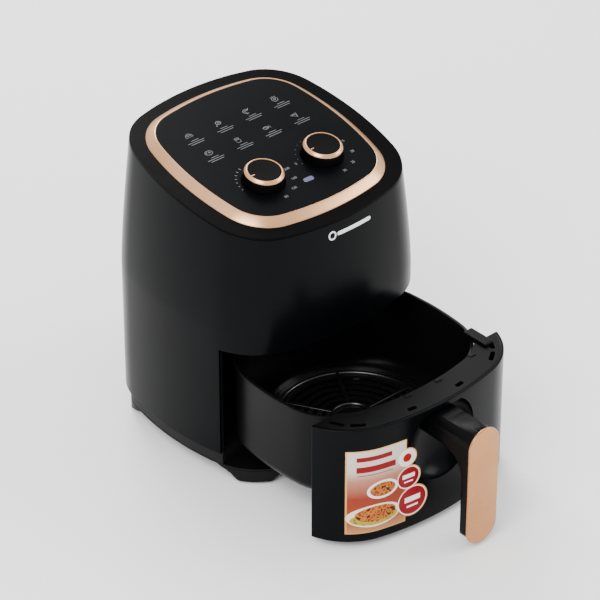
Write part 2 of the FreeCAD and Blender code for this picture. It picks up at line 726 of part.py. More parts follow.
def make_top():
    body = doc.addObject("PartDesign::Body", "top_frame_body")
    sketch = bowed_sketch(body_sketch(body, "frame_outline", lift="-frame_thick"), "top_half_width + 0.8",
                          "top_half_depth + 0.8", "top_corner")
    pad = padded(body, sketch, "frame_thick")
    rounded = fillet(body, pad, edges_where(pad, level_edge(0)), "frame_edge")
    window = bowed_sketch(body_sketch(body, "frame_window", lift="1"), "panel_half_width - 6",
                          "panel_half_depth - 6", "top_corner - ring_inset - ring_band - 6")
    pocket = body.newObject("PartDesign::Pocket", "frame_hole")
    pocket.Profile = window
    pocket.Type = "ThroughAll"
    pocket.Midplane = True
    body.Tip = pocket
    node("top_frame", body, top=True)

    ring_corner = "top_corner - 5"
    band = bowed_loft("ring_band_loft", [
        ("ring_half_width", "ring_half_depth", ring_corner, "0", "0"),
        ("ring_half_width - ring_band + 1.5", "ring_half_depth - ring_band + 1.5",
         f"{ring_corner} - ring_band + 1.5", "ring_rise + 0.4", "0"),
    ])
    hole = bowed_slab("ring_hole", "ring_half_width - ring_band", "ring_half_depth - ring_band",
                      f"{ring_corner} - ring_band", ("-1", "ring_rise + 1"))
    node("trim_ring", cut("ring", band, hole), top=True)

    panel_corner = f"{ring_corner} - ring_band - panel_play"
    slab = bowed_slab("panel_slab", "panel_half_width", "panel_half_depth", panel_corner,
                      ("0", "ring_rise"))
    hollow = bowed_slab("panel_hollow", "panel_half_width - 2.5", "panel_half_depth - 2.5",
                        f"{panel_corner} - 2.5", ("-1", "panel_under"))
    holes = [
        rod(f"panel_hole_{i}", "bushing_radius + 0.3", ("0", "ring_rise + 1"), x, "-knob_forward")
        for i, x in enumerate(("-knob_spread", "knob_spread"))
    ]
    lamp_y = "-knob_forward - 22"
    lamp_hole = block("lamp_hole", ("-6.1", "6.1"), (f"{lamp_y} - 3.6", f"{lamp_y} + 3.6"),
                      ("0", "ring_rise + 1"))
    node("control_panel", cut("panel", slab, hollow, *holes, lamp_hole), top=True)
    lens = block("lens_top", ("-6", "6"), (f"{lamp_y} - 3.5", f"{lamp_y} + 3.5"),
                 ("panel_under - 1", "ring_rise + 0.4"))
    lip = block("lens_lip", ("-8", "8"), (f"{lamp_y} - 5.5", f"{lamp_y} + 5.5"),
                ("panel_under - 1", "panel_under"))
    node("indicator_lens", fuse("lens", lens, lip), top=True)


# ---- controls and their knobs, modelled flat on the sloping top ----


def make_control(name, x, depth):
    half = "control_size / 2"
    case = block(f"{name}_case", (f"{x} - {half}", f"{x} + {half}"),
                 (f"-knob_forward - {half}", f"-knob_forward + {half}"), (f"panel_under - {depth}",
                                                                          "panel_under"))
    neck = rod(f"{name}_neck", "bushing_radius", ("panel_under", "ring_rise + 0.2"), x, "-knob_forward")
    bore = rod(f"{name}_bore", "stem_bore", (f"panel_under - {depth} + 4", "ring_rise + 1"), x,
               "-knob_forward")
    return cut(f"{name}_solid", fuse(f"{name}_outer", case, neck), bore)


def make_knob(name, x, depth):
    """Cone, bright ring and cap, turned as separate pieces round one stem."""
    at = x, "-knob_forward"
    crown = "knob_ring_z"
    body = cone(f"{name}_cone", "knob_base_radius", "knob_top_radius", ("knob_z", crown), *at)
    socket = rod(f"{name}_socket", "stem_radius", ("knob_z - 1", f"{crown} - 2"), *at)
    node(f"{name}_knob", cut(f"{name}_knob_body", body, socket), top=True)
    ring = cone(f"{name}_bevel", "knob_top_radius", "knob_top_radius - 2.6",
                (crown, f"{crown} + knob_ring_rise"), *at)
    centre = rod(f"{name}_ring_hole", "knob_cap_radius + 0.2", (f"{crown} - 1",
                                                                f"{crown} + knob_ring_rise + 1"), *at)
    node(f"{name}_knob_ring", cut(f"{name}_ring", ring, centre), top=True)
    cap = rod(f"{name}_cap", "knob_cap_radius", (crown, f"{crown} + knob_ring_rise + 0.4"), *at)
    notch = block(f"{name}_notch", (f"{x} - 1", f"{x} + 1"),
                  ("-knob_forward - knob_cap_radius - 1", "-knob_forward - knob_cap_radius + 6"),
                  (f"{crown} + knob_ring_rise - 0.4", f"{crown} + knob_ring_rise + 1"))
    node(f"{name}_knob_cap", cut(f"{name}_cap_body", cap, notch), top=True)
    node(f"{name}_shaft", rod(f"{name}_stem", "stem_radius", (f"panel_under - {depth} + 6",
                                                              f"{crown} - 2"), *at),
         top=True)


def make_controls():
    node("thermostat_body", make_control("thermostat", "-knob_spread", "control_depth"), top=True)
    timer_depth = "control_depth - 4"
    node("timer_body", make_control("timer", "knob_spread", timer_depth), top=True)
    bell_top = f"panel_under - {timer_depth}"
    bell = cone("bell_out", "control_size / 2 - 3", "control_size / 2", (f"{bell_top} - 8", bell_top),
                "knob_spread",
                "-knob_forward")
    hollow = cone("bell_in", "control_size / 2 - 5", "control_size / 2 - 2",
                  (f"{bell_top} - 6.5", f"{bell_top}"),
                  "knob_spread", "-knob_forward")
    stud = rod("bell_stud", "3", (f"{bell_top} - 8", bell_top), "knob_spread", "-knob_forward")
    node("timer_bell", fuse("bell", cut("bell_dome", bell, hollow), stud), top=True)
    make_knob("temperature", "-knob_spread", "control_depth")
    make_knob("timer", "knob_spread", timer_depth)


# ---- electrical pieces, vent and cord gland ----


def make_switch():
    x, y = SWITCH_X, SWITCH_Y
    case = block("switch_case", (f"{x} - 9", f"{x} + 9"), (f"{y} - 5", f"{y} + 5"),
                 ("chamber_z", "chamber_z + 14"))
    bore = rod("switch_bore", "2.5 + shaft_play", ("chamber_z - 1", "chamber_z + 10"), x, y)
    node("drawer_switch", cut("switch", case, bore))
    node("switch_plunger", rod("plunger", "2.5", ("rim_z + 9.5", "chamber_z + 6.5"), x, y))


def make_fuse_and_terminals():
    node("thermal_fuse", rod_along("fuse", "2.5", "x", ("-10", "10"),
                                   "pan_back_shift + reflector_radius - 14",
                                   "reflector_top + 2.5"))
    block_x = "-gland_side - 16", "-gland_side + 16"
    node("terminal_block", block("terminals", block_x, ("half_depth - 46", "half_depth - 32"),
                                 ("base_z + base_plate", "base_z + base_plate + 13")))


def make_vent():
    """The rear air outlet: a louvred cover in the shell and the duct behind it."""
    half, low, high = "vent_width / 2", "reflector_top - vent_height / 2", "reflector_top + vent_height / 2"
    cover_y = "half_depth - 7.5", "half_depth - 4.2"
    plate = block("vent_plate", (f"-({half})", half), cover_y, (low, high))
    slots = [
        block(f"vent_slot_{i}", (f"-({half}) + 6", f"{half} - 6"), ("half_depth - 12", "half_depth"),
              (f"{low} + {5 + 6 * i}", f"{low} + {8 + 6 * i}"))
        for i in range(7)
    ]
    node("rear_vent_cover", cut("vent_cover", plate, *slots))
    duct_y = "pan_back_shift + reflector_radius + liner_wall + 1", cover_y[0]
    outer = block("duct_out", (f"-({half}) + 1", f"{half} - 1"), duct_y, (f"{low} + 1", f"{high} - 1"))
    inner = block("duct_in", (f"-({half}) + 2.5", f"{half} - 2.5"), ("pan_back_shift", "half_depth"),
                  (f"{low} + 2.5", f"{high} - 2.5"))
    node("outlet_duct", cut("duct", outer, inner))


def make_gland():
    at = "-gland_side", "gland_height"
    outside = "half_depth - gland_side ^ 2 / crown / 2"
    neck = rod_along("gland_neck", "gland_radius", "y", (f"{outside} - gland_length + 5",
                                                         f"{outside} + 1"), *at)
    collar = rod_along("gland_collar", "gland_radius + 3.5", "y", (f"{outside} - 4", f"{outside} + 5"),
                       *at)
    seat = bowed_slab("gland_seat", "half_width", "half_depth", "corner",
                      ("gland_height - 2 * gland_radius", "gland_height + 2 * gland_radius"))
    flange = cut("gland_flange", collar, seat)
    bore = rod_along("gland_hole", "gland_bore", "y", (f"{outside} - 40", f"{outside} + 10"), *at)
    node("cord_gland", cut("gland", fuse("gland_solid", neck, flange), bore))


def make_base_screws():
    screws = []
    for i, (x, y) in enumerate(corners("foot_spread_x - 42", "foot_spread_y - 30")):
        shank = rod(f"base_screw_{i}", "screw_radius", ("base_z - 0.4", "base_z + 9"), x, y)
        head = rod(f"base_screw_head_{i}", "screw_head_radius", ("base_z - 2.4", "base_z"), x, y)
        screws.append(fuse(f"base_screw_set_{i}", shank, head))
    node("base_screws", group("base_screw_group", *screws))


# ---- drawer, modelled shut ----


def make_pan():
    def tub(name, half_x, half_y, corner, low, high, radius):
        body = doc.addObject("PartDesign::Body", name)
        sketch = bowed_sketch(body_sketch(body, name + "_outline", lift=low), half_x, half_y, corner)
        pad = padded(body, sketch, f"({high}) - ({low})")
        fillet(body, pad, edges_where(pad, level_edge(number(low))), radius)
        return move(body, y="pan_back_shift")

    outside = tub("tub_out", "pan_half_width", "pan_half_depth", "pan_corner", "pan_z", "rim_z",
                  "pan_floor_radius")
    inside = tub("tub_in", "pan_half_width - pan_wall", "pan_half_depth - pan_wall",
                 "pan_corner - pan_wall",
                 "pan_z + pan_wall", "rim_z + 2", "pan_floor_radius - pan_wall")
    lip = bowed_slab("lip", "lip_half_width", "lip_half_depth", "pan_corner + pan_lip",
                     ("rim_z - 2", "rim_z"),
                     "pan_back_shift")
    node("pan", cut("pan_body", fuse("pan_out", outside, lip), inside), drawer=True)


def front_zone(name, behind="0.6"):
    """The space in front of the opening's plane, where the drawer's front lives."""
    return block(name, ("-half_width - 5", "half_width + 5"), ("-half_depth - 5", f"opening_y - {behind}"),
                 ("panel_bottom - 5", "panel_top + 5"))


def scoop(name, grow):
    made = doc.addObject("Part::Ellipsoid", name)
    bind(made, Radius1=f"scoop_drop / 2 + {grow}", Radius2=f"scoop_half_width + {grow}",
         Radius3=f"scoop_depth + {grow}")
    return move(made, "0", "front_y - 1.5", "panel_top - 6 - scoop_drop * 0.42")


def make_front():
    span = "panel_bottom", "panel_top"
    inner = "half_width - panel_wall", "half_depth - panel_wall", "corner - panel_wall"
    skin = cut(
        "front_skin", bowed_slab("front_out", "half_width", "half_depth", "corner", span),
        bowed_slab("front_in", *inner, ("panel_bottom - 1", "panel_top + 1")),
    )
    lip_trim = block("scoop_lip", ("-half_width", "half_width"), ("-half_depth - 40", "0"),
                     ("panel_top - 6", "panel_top + 60"))
    hole = cut("scoop_hole", scoop("scoop_space", "0"), lip_trim)
    cup_limit = bowed_slab("cup_limit", "half_width - 0.5", "half_depth - 0.5", "corner - 0.5",
                           ("panel_bottom", "panel_top - 4"))
    cup_roof = block("cup_roof", ("-half_width", "half_width"), ("-half_depth - 40", "0"),
                     ("panel_top - 4", "panel_top + 60"))
    cup = common("cup", cut("cup_outer", scoop("scoop_skin", "2"), cup_roof), cup_limit)
    whole = fuse("front_with_cup", common("front_wall", skin, front_zone("front_zone_a")), cup)
    node("drawer_front", cut("front_body", whole, hole), drawer=True)

    gap = "pan_lip + 0.4"
    tub = "pan_half_width + {0}", "pan_half_depth + {0}", "pan_corner + {0}"

    def around_pan(name, grow, z):
        return bowed_slab(name, *(t.format(grow) for t in tub), z, "pan_back_shift")

    back = "panel_wall"
    inside = f"half_width - {back}", f"half_depth - {back}", f"corner - {back}"
    cover_z = "panel_bottom + 0.5", "panel_top - 3"
    wall = cut("cover_wall", around_pan("cover_wall_out", f"{gap} + 2", cover_z),
               around_pan("cover_wall_in", gap, ("panel_bottom - 1", "panel_top + 1")))
    wings = common(
        "cover_wings", bowed_slab("wing_limit", *inside, cover_z),
        block("wing_slab", ("-half_width", "half_width"), ("opening_y - 2.6", "opening_y - 0.6"), cover_z),
    )
    floor_z = "panel_bottom + 0.5", "panel_bottom + 2.5"
    floor = bowed_slab("cover_floor", *inside, floor_z)
    closed = fuse("cover_all", wall, wings, floor)
    space = around_pan("cover_space", gap, ("panel_bottom - 1", "panel_top + 1"))
    zone = common("cover_body", closed, front_zone("front_zone_b"))
    node("drawer_inner_cover", cut("cover", zone, space, scoop("cover_scoop", "2")), drawer=True)

    bridge_z = "panel_top - 3", "panel_top"
    ledge = common("bridge_ledge", bowed_slab("bridge_limit", *inside, bridge_z),
                   front_zone("front_zone_c"))
    slots = []
    for side in ("-", ""):
        for i, (x, y, length) in enumerate((("96", "98", "14"), ("82", "108", "14"),
                                            ("30", "118.5", "9"))):
            slots.append(block(f"bridge_slot_{side}{i}".replace("-", "left"),
                               (f"{side}({x}) - {length} / 2", f"{side}({x}) + {length} / 2"),
                               (f"-{y} * half_depth / 126 - 2", f"-{y} * half_depth / 126 + 2"),
                               ("panel_top - 4", "panel_top + 1")))
    rim_space = around_pan("bridge_rim", gap, ("panel_top - 10", "panel_top + 1"))
    tab = block("switch_tab", (f"{SWITCH_X} - 6", f"{SWITCH_X} + 6"),
                ("opening_y - 14", f"{SWITCH_Y} + 5"),
                ("panel_top - 3", "rim_z + 9"))
    tab_space = around_pan("tab_rim", gap, ("panel_top - 10", "rim_z + 1"))
    node("drawer_bridge", cut("bridge", fuse("bridge_all", cut("bridge_plate", ledge, rim_space, *slots),
                                             tab),
                              tab_space), drawer=True)


def make_pan_bracket():
    """A steel strap between the pan's front wall and the inner cover, with its rivets."""
    gap, wall = "pan_lip + 0.4", "2"
    z = "rim_z - 24", "rim_z - 4"

    def outside(name, grow):
        return bowed_slab(name, f"pan_half_width + {grow}", f"pan_half_depth + {grow}",
                          f"pan_corner + {grow}", z,
                          "pan_back_shift")

    ring = cut("bracket_ring", outside("bracket_out", gap), outside("bracket_in", "0"))
    zone = block("bracket_zone", ("-26", "26"), ("-half_depth", "opening_y"), z)
    node("pan_bracket", common("bracket_strap", ring, zone), drawer=True)
    front = "pan_back_shift - pan_half_depth - pan_lip - 2.4"
    heads = [
        rod_along(f"rivet_{i}", "2.6", "y", (f"{front} - 1.4", f"{front} + 3"), x, "rim_z - 14")
        for i, x in enumerate(("-20", "20"))
    ]
    node("bracket_rivets", cut("rivets", group("rivet_heads", *heads),
                               outside("rivet_seat", f"{gap} + {wall}")),
         drawer=True)


def make_handle():
    body = doc.addObject("PartDesign::Body", "handle_blank")
    low, high = "handle_top - handle_length + 1.5", "handle_top - 1.5"
    root, back = "front_y + scoop_depth + 3", "grip_y + grip_depth"
    profile = [
        (root, "arm_top - arm_height"), (f"{back} + 16", "arm_top - arm_height - 1"),
        (f"{back} + 5", "arm_top - arm_height - 5"), (back,
                                                      "arm_top - arm_height - 16"), (back, f"{low} + 6"),
        (f"{back} - 5", low), ("grip_y", low), ("grip_y", high), (f"{back} - 6",
                                                                  high), (f"{back} + 6", "arm_top"),
        (root, "arm_top"),
    ]
    sketch = outline(body_sketch(body, "handle_side", "YZ_Plane"), profile)
    pad = padded(body, sketch, "handle_width", middle=True)

    def long_edge(e):
        """One of the two side outlines, away from the face and the root."""
        on_side = abs(abs(e.CenterOfMass.x) - number("handle_width / 2")) < 0.01
        depths = [v.Point.y for v in e.Vertexes]
        flush = [abs(sum(depths) / 2 - number(at)) < 0.1 for at in ("grip_y", root)]
        return on_side and not any(flush)

    fillet(body, pad, edges_where(pad, long_edge), "3.5")
    rounding = handle_ends("grip_ends", "handle_width / 2", "grip_y - 1", f"{back} + 60", low, high)
    outside = block("handle_space", ("-half_width", "half_width"), ("handle_y - 5", "front_y - 1.5"),
                    ("panel_bottom - 40", "panel_top + 20"))
    reach = fuse("handle_reach_zone", scoop("handle_scoop", "0"), outside)
    node("handle", common("handle_body", body, rounding, reach), drawer=True)
    face = handle_ends("face_plate", "handle_face_width / 2", "handle_y", "grip_y",
                       "handle_top - handle_length",
                       "handle_top")
    node("handle_face", face, drawer=True)


def handle_ends(name, half, front, behind, low, high):
    """An upright bar with round ends, seen from the front."""
    discs = [
        rod_along(f"{name}_end_{i}", half, "y", (front, behind), "0", z)
        for i, z in enumerate((f"{low} + {half}", f"{high} - {half}"))
    ]
    middle = block(f"{name}_bar", (f"-({half})", half), (front, behind),
                   (f"{low} + {half}", f"{high} - {half}"))
    return fuse(name, *discs, middle)


def make_handle_screws():
    """Two screws through the scoop's back into the handle's arm, heads towards the pan."""
    heads = [
        rod_along(f"handle_screw_{i}", "screw_head_radius", "y",
                  ("front_y + scoop_depth - 8",
                   "front_y + scoop_depth + 1"), x, "arm_top - arm_height / 2")
        for i, x in enumerate(("-9", "9"))
    ]
    node("handle_screws", cut("handle_screw_set", group("handle_screw_heads", *heads),
                              scoop("screw_seat", "2")),
         drawer=True)


def make_label():
    skin = cut("label_skin", bowed_slab("label_out", "half_width + 0.35", "half_depth + 0.35", "corner",
                                        ("panel_bottom + 10", "panel_bottom + 107")),
               bowed_slab("label_in", "half_width", "half_depth", "corner",
                          ("panel_bottom + 9", "panel_bottom + 108")))
    zone = block("label_zone", ("-104", "-46"), ("-half_depth - 2", "-60"),
                 ("panel_bottom + 10", "panel_bottom + 107"))
    lobes = [
        rod_along(f"label_lobe_{i}", radius, "y", ("-half_depth - 2", "-60"), x, f"panel_bottom + {z}")
        for i, (radius, x, z) in enumerate((("11", "-45", 85), ("14", "-43", 61), ("18", "-38", 32)))
    ]
    node("front_label", common("label", skin, fuse("label_plan", zone, *lobes)), drawer=True)


# ---- crisper tray ----


def make_tray():
    at = "0", "pan_back_shift"
    z = "tray_z", "tray_z + tray_thick"
    plate = rod("tray_plate", "tray_radius", z, *at)
    rim = tube("tray_rim", "tray_radius", "tray_radius - 2", ("tray_z", "tray_z + 8"), *at)
    ridge = tube("tray_ridge", "tray_radius - 13", "tray_radius - 16", ("tray_z", "tray_z + 5.5"), *at)
    boss = tube("tray_boss", "21", "18", ("tray_z", "tray_z + 5.5"), *at)
    around = "pan_back_shift"
    ribs = [
        spoke(f"tray_rib_{i}", 60 * i, "20", "tray_radius - 14", "1.6", ("tray_z", "tray_z + 5"), around)
        for i in range(6)
    ]
    slots = []
    for row in range(5):
        radius = 29 + 9.5 * row
        ring = tube(f"tray_slot_{row}", f"{radius + 2}", f"{radius - 2}",
                    ("tray_z - 1", "tray_z + tray_thick + 0.01"),
                    *at)
        slots.append(ring)
    keep = [spoke(f"tray_web_{i}", 20 * i, "10", "tray_radius", "2.6", z, around) for i in range(18)]
    feet = [
        rod(f"tray_foot_{i}", "4.5", ("pan_z + pan_wall", "tray_z"), x, f"{y} + pan_back_shift")
        for i, (x, y) in enumerate(corners("tray_radius * 0.52", "tray_radius * 0.52"))
    ]
    webs = common("tray_webs", fuse("tray_bars", *keep), rod("tray_web_limit", "tray_radius - 1", z, *at))
    slotted = cut("tray_slotted", plate, *slots)
    node("crisper_tray", fuse("tray", slotted, webs, rim, ridge, boss, *ribs, *feet), drawer=True)
    bumpers = []
    for i in range(4):
        bumper = block(f"bumper_{i}", ("tray_radius", "tray_radius + 2.2"), ("-7", "7"),
                       ("tray_z - 4", "tray_z + 6"))
        turned = group(f"bumper_turned_{i}", bumper)
        turned.Placement = Placement(Vector(0, 0, 0), Rotation(Vector(0, 0, 1), 45 + 90 * i))
        bumpers.append(move(turned, y="pan_back_shift"))
    node("tray_bumpers", group("bumper_set", *bumpers), drawer=True)


def build():
    make_base()
    make_shell()
    make_opening_frame()
    make_liner()
    make_reflector()
    make_heater()
    make_heater_clips()
    make_guard()
    make_drive()
    make_top()
    make_controls()
    make_switch()
    make_fuse_and_terminals()
    make_vent()
    make_gland()
    make_base_screws()
    make_pan()
    make_front()
    make_pan_bracket()
    make_handle()
    make_handle_screws()
    make_label()
    make_tray()
    doc.recompute()


def check():
    for obj in doc.Objects:
        if any(word in str(obj.State) for word in ("Invalid", "Error")):
            raise RuntimeError(f"{obj.Name} did not compute: {obj.State}")
    for name, obj in nodes:
        if obj.Shape.isNull() or not obj.Shape.isValid() or not obj.Shape.Solids:
            raise RuntimeError(f"{name} has no valid solid")


def write():
    os.makedirs("parts", exist_ok=True)
    for name, obj in nodes:
        obj.Shape.exportStep(f"parts/{name}.step")
        print(name, len(obj.Shape.Solids), "solids", round(obj.Shape.Volume), "mm3")


build()
check()
write()
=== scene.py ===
import math

import bmesh
import bpy
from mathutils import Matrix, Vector


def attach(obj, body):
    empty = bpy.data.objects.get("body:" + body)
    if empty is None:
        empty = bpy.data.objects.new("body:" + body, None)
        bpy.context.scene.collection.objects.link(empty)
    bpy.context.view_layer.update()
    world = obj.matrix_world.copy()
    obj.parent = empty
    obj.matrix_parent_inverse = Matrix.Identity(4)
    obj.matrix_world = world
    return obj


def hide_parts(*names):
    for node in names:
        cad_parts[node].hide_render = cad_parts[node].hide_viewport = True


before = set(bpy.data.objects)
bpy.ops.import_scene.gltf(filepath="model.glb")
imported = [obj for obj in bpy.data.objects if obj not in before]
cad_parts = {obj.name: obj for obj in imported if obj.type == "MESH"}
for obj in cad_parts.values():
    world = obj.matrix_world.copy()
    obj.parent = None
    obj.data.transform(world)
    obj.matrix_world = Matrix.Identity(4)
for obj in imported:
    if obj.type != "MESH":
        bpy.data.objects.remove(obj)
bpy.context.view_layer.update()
print("frame loaded", len(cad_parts), "nodes")

# sizes are in millimetres, and mm turns them into metres
mm = 0.001
weldGap = 0.00002
bowed = {"crown": 300, "halfX": 131, "halfY": 126, "corner": 70}
slope = {"tilt": math.radians(10.3), "height": 301.4}
pulled = {"out": -134, "drop": -17}


# selecting and shaping

def clearSelection():
    if bpy.context.object and bpy.context.object.mode != "OBJECT":
        bpy.ops.object.mode_set(mode="OBJECT")
    bpy.ops.object.select_all(action="DESELECT")


def takeUp(piece):
    clearSelection()
    piece.select_set(True)
    bpy.context.view_layer.objects.active = piece


def openMesh(piece):
    takeUp(piece)
    bpy.ops.object.mode_set(mode="EDIT")


def selectAll():
    bpy.ops.mesh.select_all(action="SELECT")


def deleteFaces():
    bpy.ops.mesh.delete(type="FACE")


def extrudeBy(step):
    bpy.ops.mesh.extrude_region_move(TRANSFORM_OT_translate={"value": step})


def shiftBy(step):
    bpy.ops.transform.translate(value=step)


def freeze():
    # applies the placing of what is selected
    bpy.ops.object.transform_apply(location=True, rotation=True, scale=True)


def named(name):
    # names the piece just made
    piece = bpy.context.object
    piece.name = piece.data.name = name
    return piece


def pick(piece, kind, test):
    # selects vertices, edges or faces whose middle passes the test
    bpy.ops.mesh.select_mode(type=kind)
    bpy.ops.mesh.select_all(action="DESELECT")
    mesh = bmesh.from_edit_mesh(piece.data)
    items = {"VERT": mesh.verts, "EDGE": mesh.edges, "FACE": mesh.faces}[kind]
    for item in items:
        corners = [item] if kind == "VERT" else item.verts
        middle = sum((v.co for v in corners), Vector()) / len(corners) / mm
        if test(middle):
            item.select_set(True)
    mesh.select_flush_mode()
    bmesh.update_edit_mesh(piece.data)


def drawLine(name, points):
    # a plane merged to one point, then drawn out from point to point
    clearSelection()
    bpy.ops.mesh.primitive_plane_add(size=0.001)
    piece = named(name)
    bpy.ops.object.mode_set(mode="EDIT")
    bpy.ops.mesh.select_mode(type="VERT")
    selectAll()
    bpy.ops.mesh.merge(type="CENTER")
    shiftBy(Vector(points[0]) * mm)
    for before, after in zip(points, points[1:]):
        step = (Vector(after) - Vector(before)) * mm
        extrudeBy(step)
    selectAll()
    return piece


def weld(normals=True):
    selectAll()
    bpy.ops.mesh.remove_doubles(threshold=weldGap)
    if normals:
        bpy.ops.mesh.normals_make_consistent(inside=False)


def drawnIn(inset=0):
    return bowed["halfX"] - inset, bowed["halfY"] - inset, bowed["corner"] - inset


def bowedArcs(halfX, halfY, corner):
    # middle, radius, start and sweep of the eight arcs of a bowed square
    crown = bowed["crown"]
    ax, ay = halfX - crown, halfY - crown
    low, high = 0.0, min(halfX, halfY)
    for _ in range(60):
        cx = (low + high) / 2
        cy = (2 * ax * cx - ax * ax + ay * ay) / (2 * ay)
        if (cx - ax) ** 2 + cy ** 2 > (crown - corner) ** 2:
            high = cx
        else:
            low = cx
    a = math.atan2(cy, cx - ax)
    b = math.atan2(cy - ay, cx)
    pi = math.pi
    turns = [-a, a, b, pi - b, pi - a, pi + a, pi + b, 2 * pi - b, 2 * pi - a]
    middles = [(ax, 0), (cx, cy), (0, ay), (-cx, cy), (-ax, 0), (-cx, -cy), (0, -ay), (cx, -cy)]
    return [(*middle, crown if i % 2 == 0 else corner, turns[i], turns[i + 1] - turns[i])
            for i, middle in enumerate(middles)]


def sweepSquare(name, halfX, halfY, corner, profile, shift=0, steps=(12, 12)):
    # profile is a run of (inset, height), spun along each arc in turn
    arcs = bowedArcs(halfX, halfY, corner)
    cx, cy, radius, start, _ = arcs[0]
    along = Vector((math.cos(start), math.sin(start), 0))
    points = [Vector((cx, cy + shift, z)) + along * (radius - inset) for inset, z in profile]
    piece = drawLine(name, points)
    for cx, cy, radius, _, sweep in arcs:
        count = steps[0] if radius == bowed["crown"] else steps[1]
        middle = (cx * mm, (cy + shift) * mm, 0)
        # minus turns it leftwards
        bpy.ops.mesh.spin(steps=count, angle=-sweep, center=middle, axis=(0, 0, 1))
    weld()
    return piece


def turned(name, profile, centre=(0, 0), steps=64):
    # profile is a run of (radius, height) spun about an upright axis
    piece = drawLine(name, [(centre[0] + r, centre[1], z) for r, z in profile])
    middle = (centre[0] * mm, centre[1] * mm, 0)
    bpy.ops.mesh.spin(steps=steps, angle=2 * math.pi, center=middle, axis=(0, 0, 1))
    weld()
    return piece


def capRing(piece, height):
    # closes the loop of open edges at a height
    bpy.ops.mesh.select_mode(type="EDGE")
    bpy.ops.mesh.select_all(action="DESELECT")
    mesh = bmesh.from_edit_mesh(piece.data)
    for edge in mesh.edges:
        level = all(abs(v.co.z / mm - height) < 0.02 for v in edge.verts)
        edge.select_set(level and edge.is_boundary)
    bmesh.update_edit_mesh(piece.data)
    bpy.ops.mesh.edge_face_add()


def capTop(piece):
    # fills the innermost open loop
    mesh = bmesh.from_edit_mesh(piece.data)
    for edge in mesh.edges:
        edge.select_set(edge.select and edge.is_boundary)
    bmesh.update_edit_mesh(piece.data)
    bpy.ops.mesh.edge_face_add()


def slab(name, halfX, halfY, corner, low, high, shift=0, steps=(12, 12)):
    piece = sweepSquare(name, halfX, halfY, corner, [(0, low), (0, high)], shift, steps)
    capRing(piece, low)
    capRing(piece, high)
    weld()
    clearSelection()
    return piece


def bisect(point, normal, drop=None, fill=False):
    # cuts what is selected; drop names the side that goes
    bpy.ops.mesh.bisect(plane_co=Vector(point) * mm, plane_no=normal, use_fill=fill,
                        clear_inner=drop == "inner", clear_outer=drop == "outer")


def bisectAll(point, normal, drop=None, fill=False):
    selectAll()
    bisect(point, normal, drop, fill)


def applyModifier(piece, kind, **settings):
    takeUp(piece)
    added = piece.modifiers.new(kind.lower(), kind)
    for name, value in settings.items():
        setattr(added, name, value)
    bpy.ops.object.modifier_apply(modifier=added.name)


def thicken(piece, wall):
    applyModifier(piece, "SOLIDIFY", thickness=wall * mm, offset=-1, use_even_offset=True)


def soften(piece, width, segments=3, angle=35):
    applyModifier(piece, "BEVEL", width=width * mm, segments=segments, limit_method="ANGLE",
                  angle_limit=math.radians(angle), use_clamp_overlap=True)


def carve(piece, tool, operation="DIFFERENCE"):
    applyModifier(piece, "BOOLEAN", object=tool, operation=operation, solver="EXACT")
    bpy.data.objects.remove(tool, do_unlink=True)


def joinAll(name, pieces):
    clearSelection()
    for piece in pieces:
        piece.select_set(True)
    bpy.context.view_layer.objects.active = pieces[0]
    if len(pieces) > 1:
        bpy.ops.object.join()
    pieces[0].name = pieces[0].data.name = name
    return pieces[0]


def cubeAt(name, low, high, soft=0, segments=3):
    clearSelection()
    low, high = Vector(low) * mm, Vector(high) * mm
    bpy.ops.mesh.primitive_cube_add(size=1, location=(low + high) / 2, scale=high - low)
    piece = named(name)
    freeze()
    if soft:
        soften(piece, soft, segments)
    return piece


def ballAt(name, centre, radii, segments=64, rings=32):
    clearSelection()
    bpy.ops.mesh.primitive_uv_sphere_add(segments=segments, ring_count=rings, radius=1,
                                         location=Vector(centre) * mm, scale=Vector(radii) * mm)
    piece = named(name)
    freeze()
    return piece


def frontDisc(name, x, y, z, radius, steps):
    clearSelection()
    bpy.ops.mesh.primitive_circle_add(vertices=steps, radius=radius * mm, fill_type="NGON",
                                      location=Vector((x, y, z)) * mm, rotation=(math.radians(90), 0, 0))
    piece = named(name)
    freeze()
    openMesh(piece)
    return piece


def settle(piece, look, body, stands=(), at=None, angle=32):
    # puts a finished piece in its place and says what it is
    takeUp(piece)
    if at == "slope":
        piece.rotation_euler = (slope["tilt"], 0, 0)
        piece.location = (0, 0, slope["height"] * mm)
    if at == "drawer":
        piece.location = (0, pulled["out"] * mm, pulled["drop"] * mm)
    freeze()
    bpy.ops.object.shade_smooth_by_angle(angle=math.radians(angle))
    applyModifier(piece, "WEIGHTED_NORMAL", keep_sharp=True)  # flat faces stay flat beside round edges
    piece.data.materials.clear()
    piece.data.materials.append(looks[look])
    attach(piece, body)
    if stands:
        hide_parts(*stands)
    return piece


# looks

mixSockets = {"factor": 0, "first": 6, "second": 7, "result": 2}


def setInputs(node, values):
    for name, value in values.items():
        node.inputs[name].default_value = value
    return node


def newLook(name):
    look = bpy.data.materials.new(name)
    look.use_nodes = True
    tree = look.node_tree

    def add(kind, values=None):
        return setInputs(tree.nodes.new("ShaderNode" + kind), values or {})

    return look, tree.nodes["Principled BSDF"], add, tree.links.new


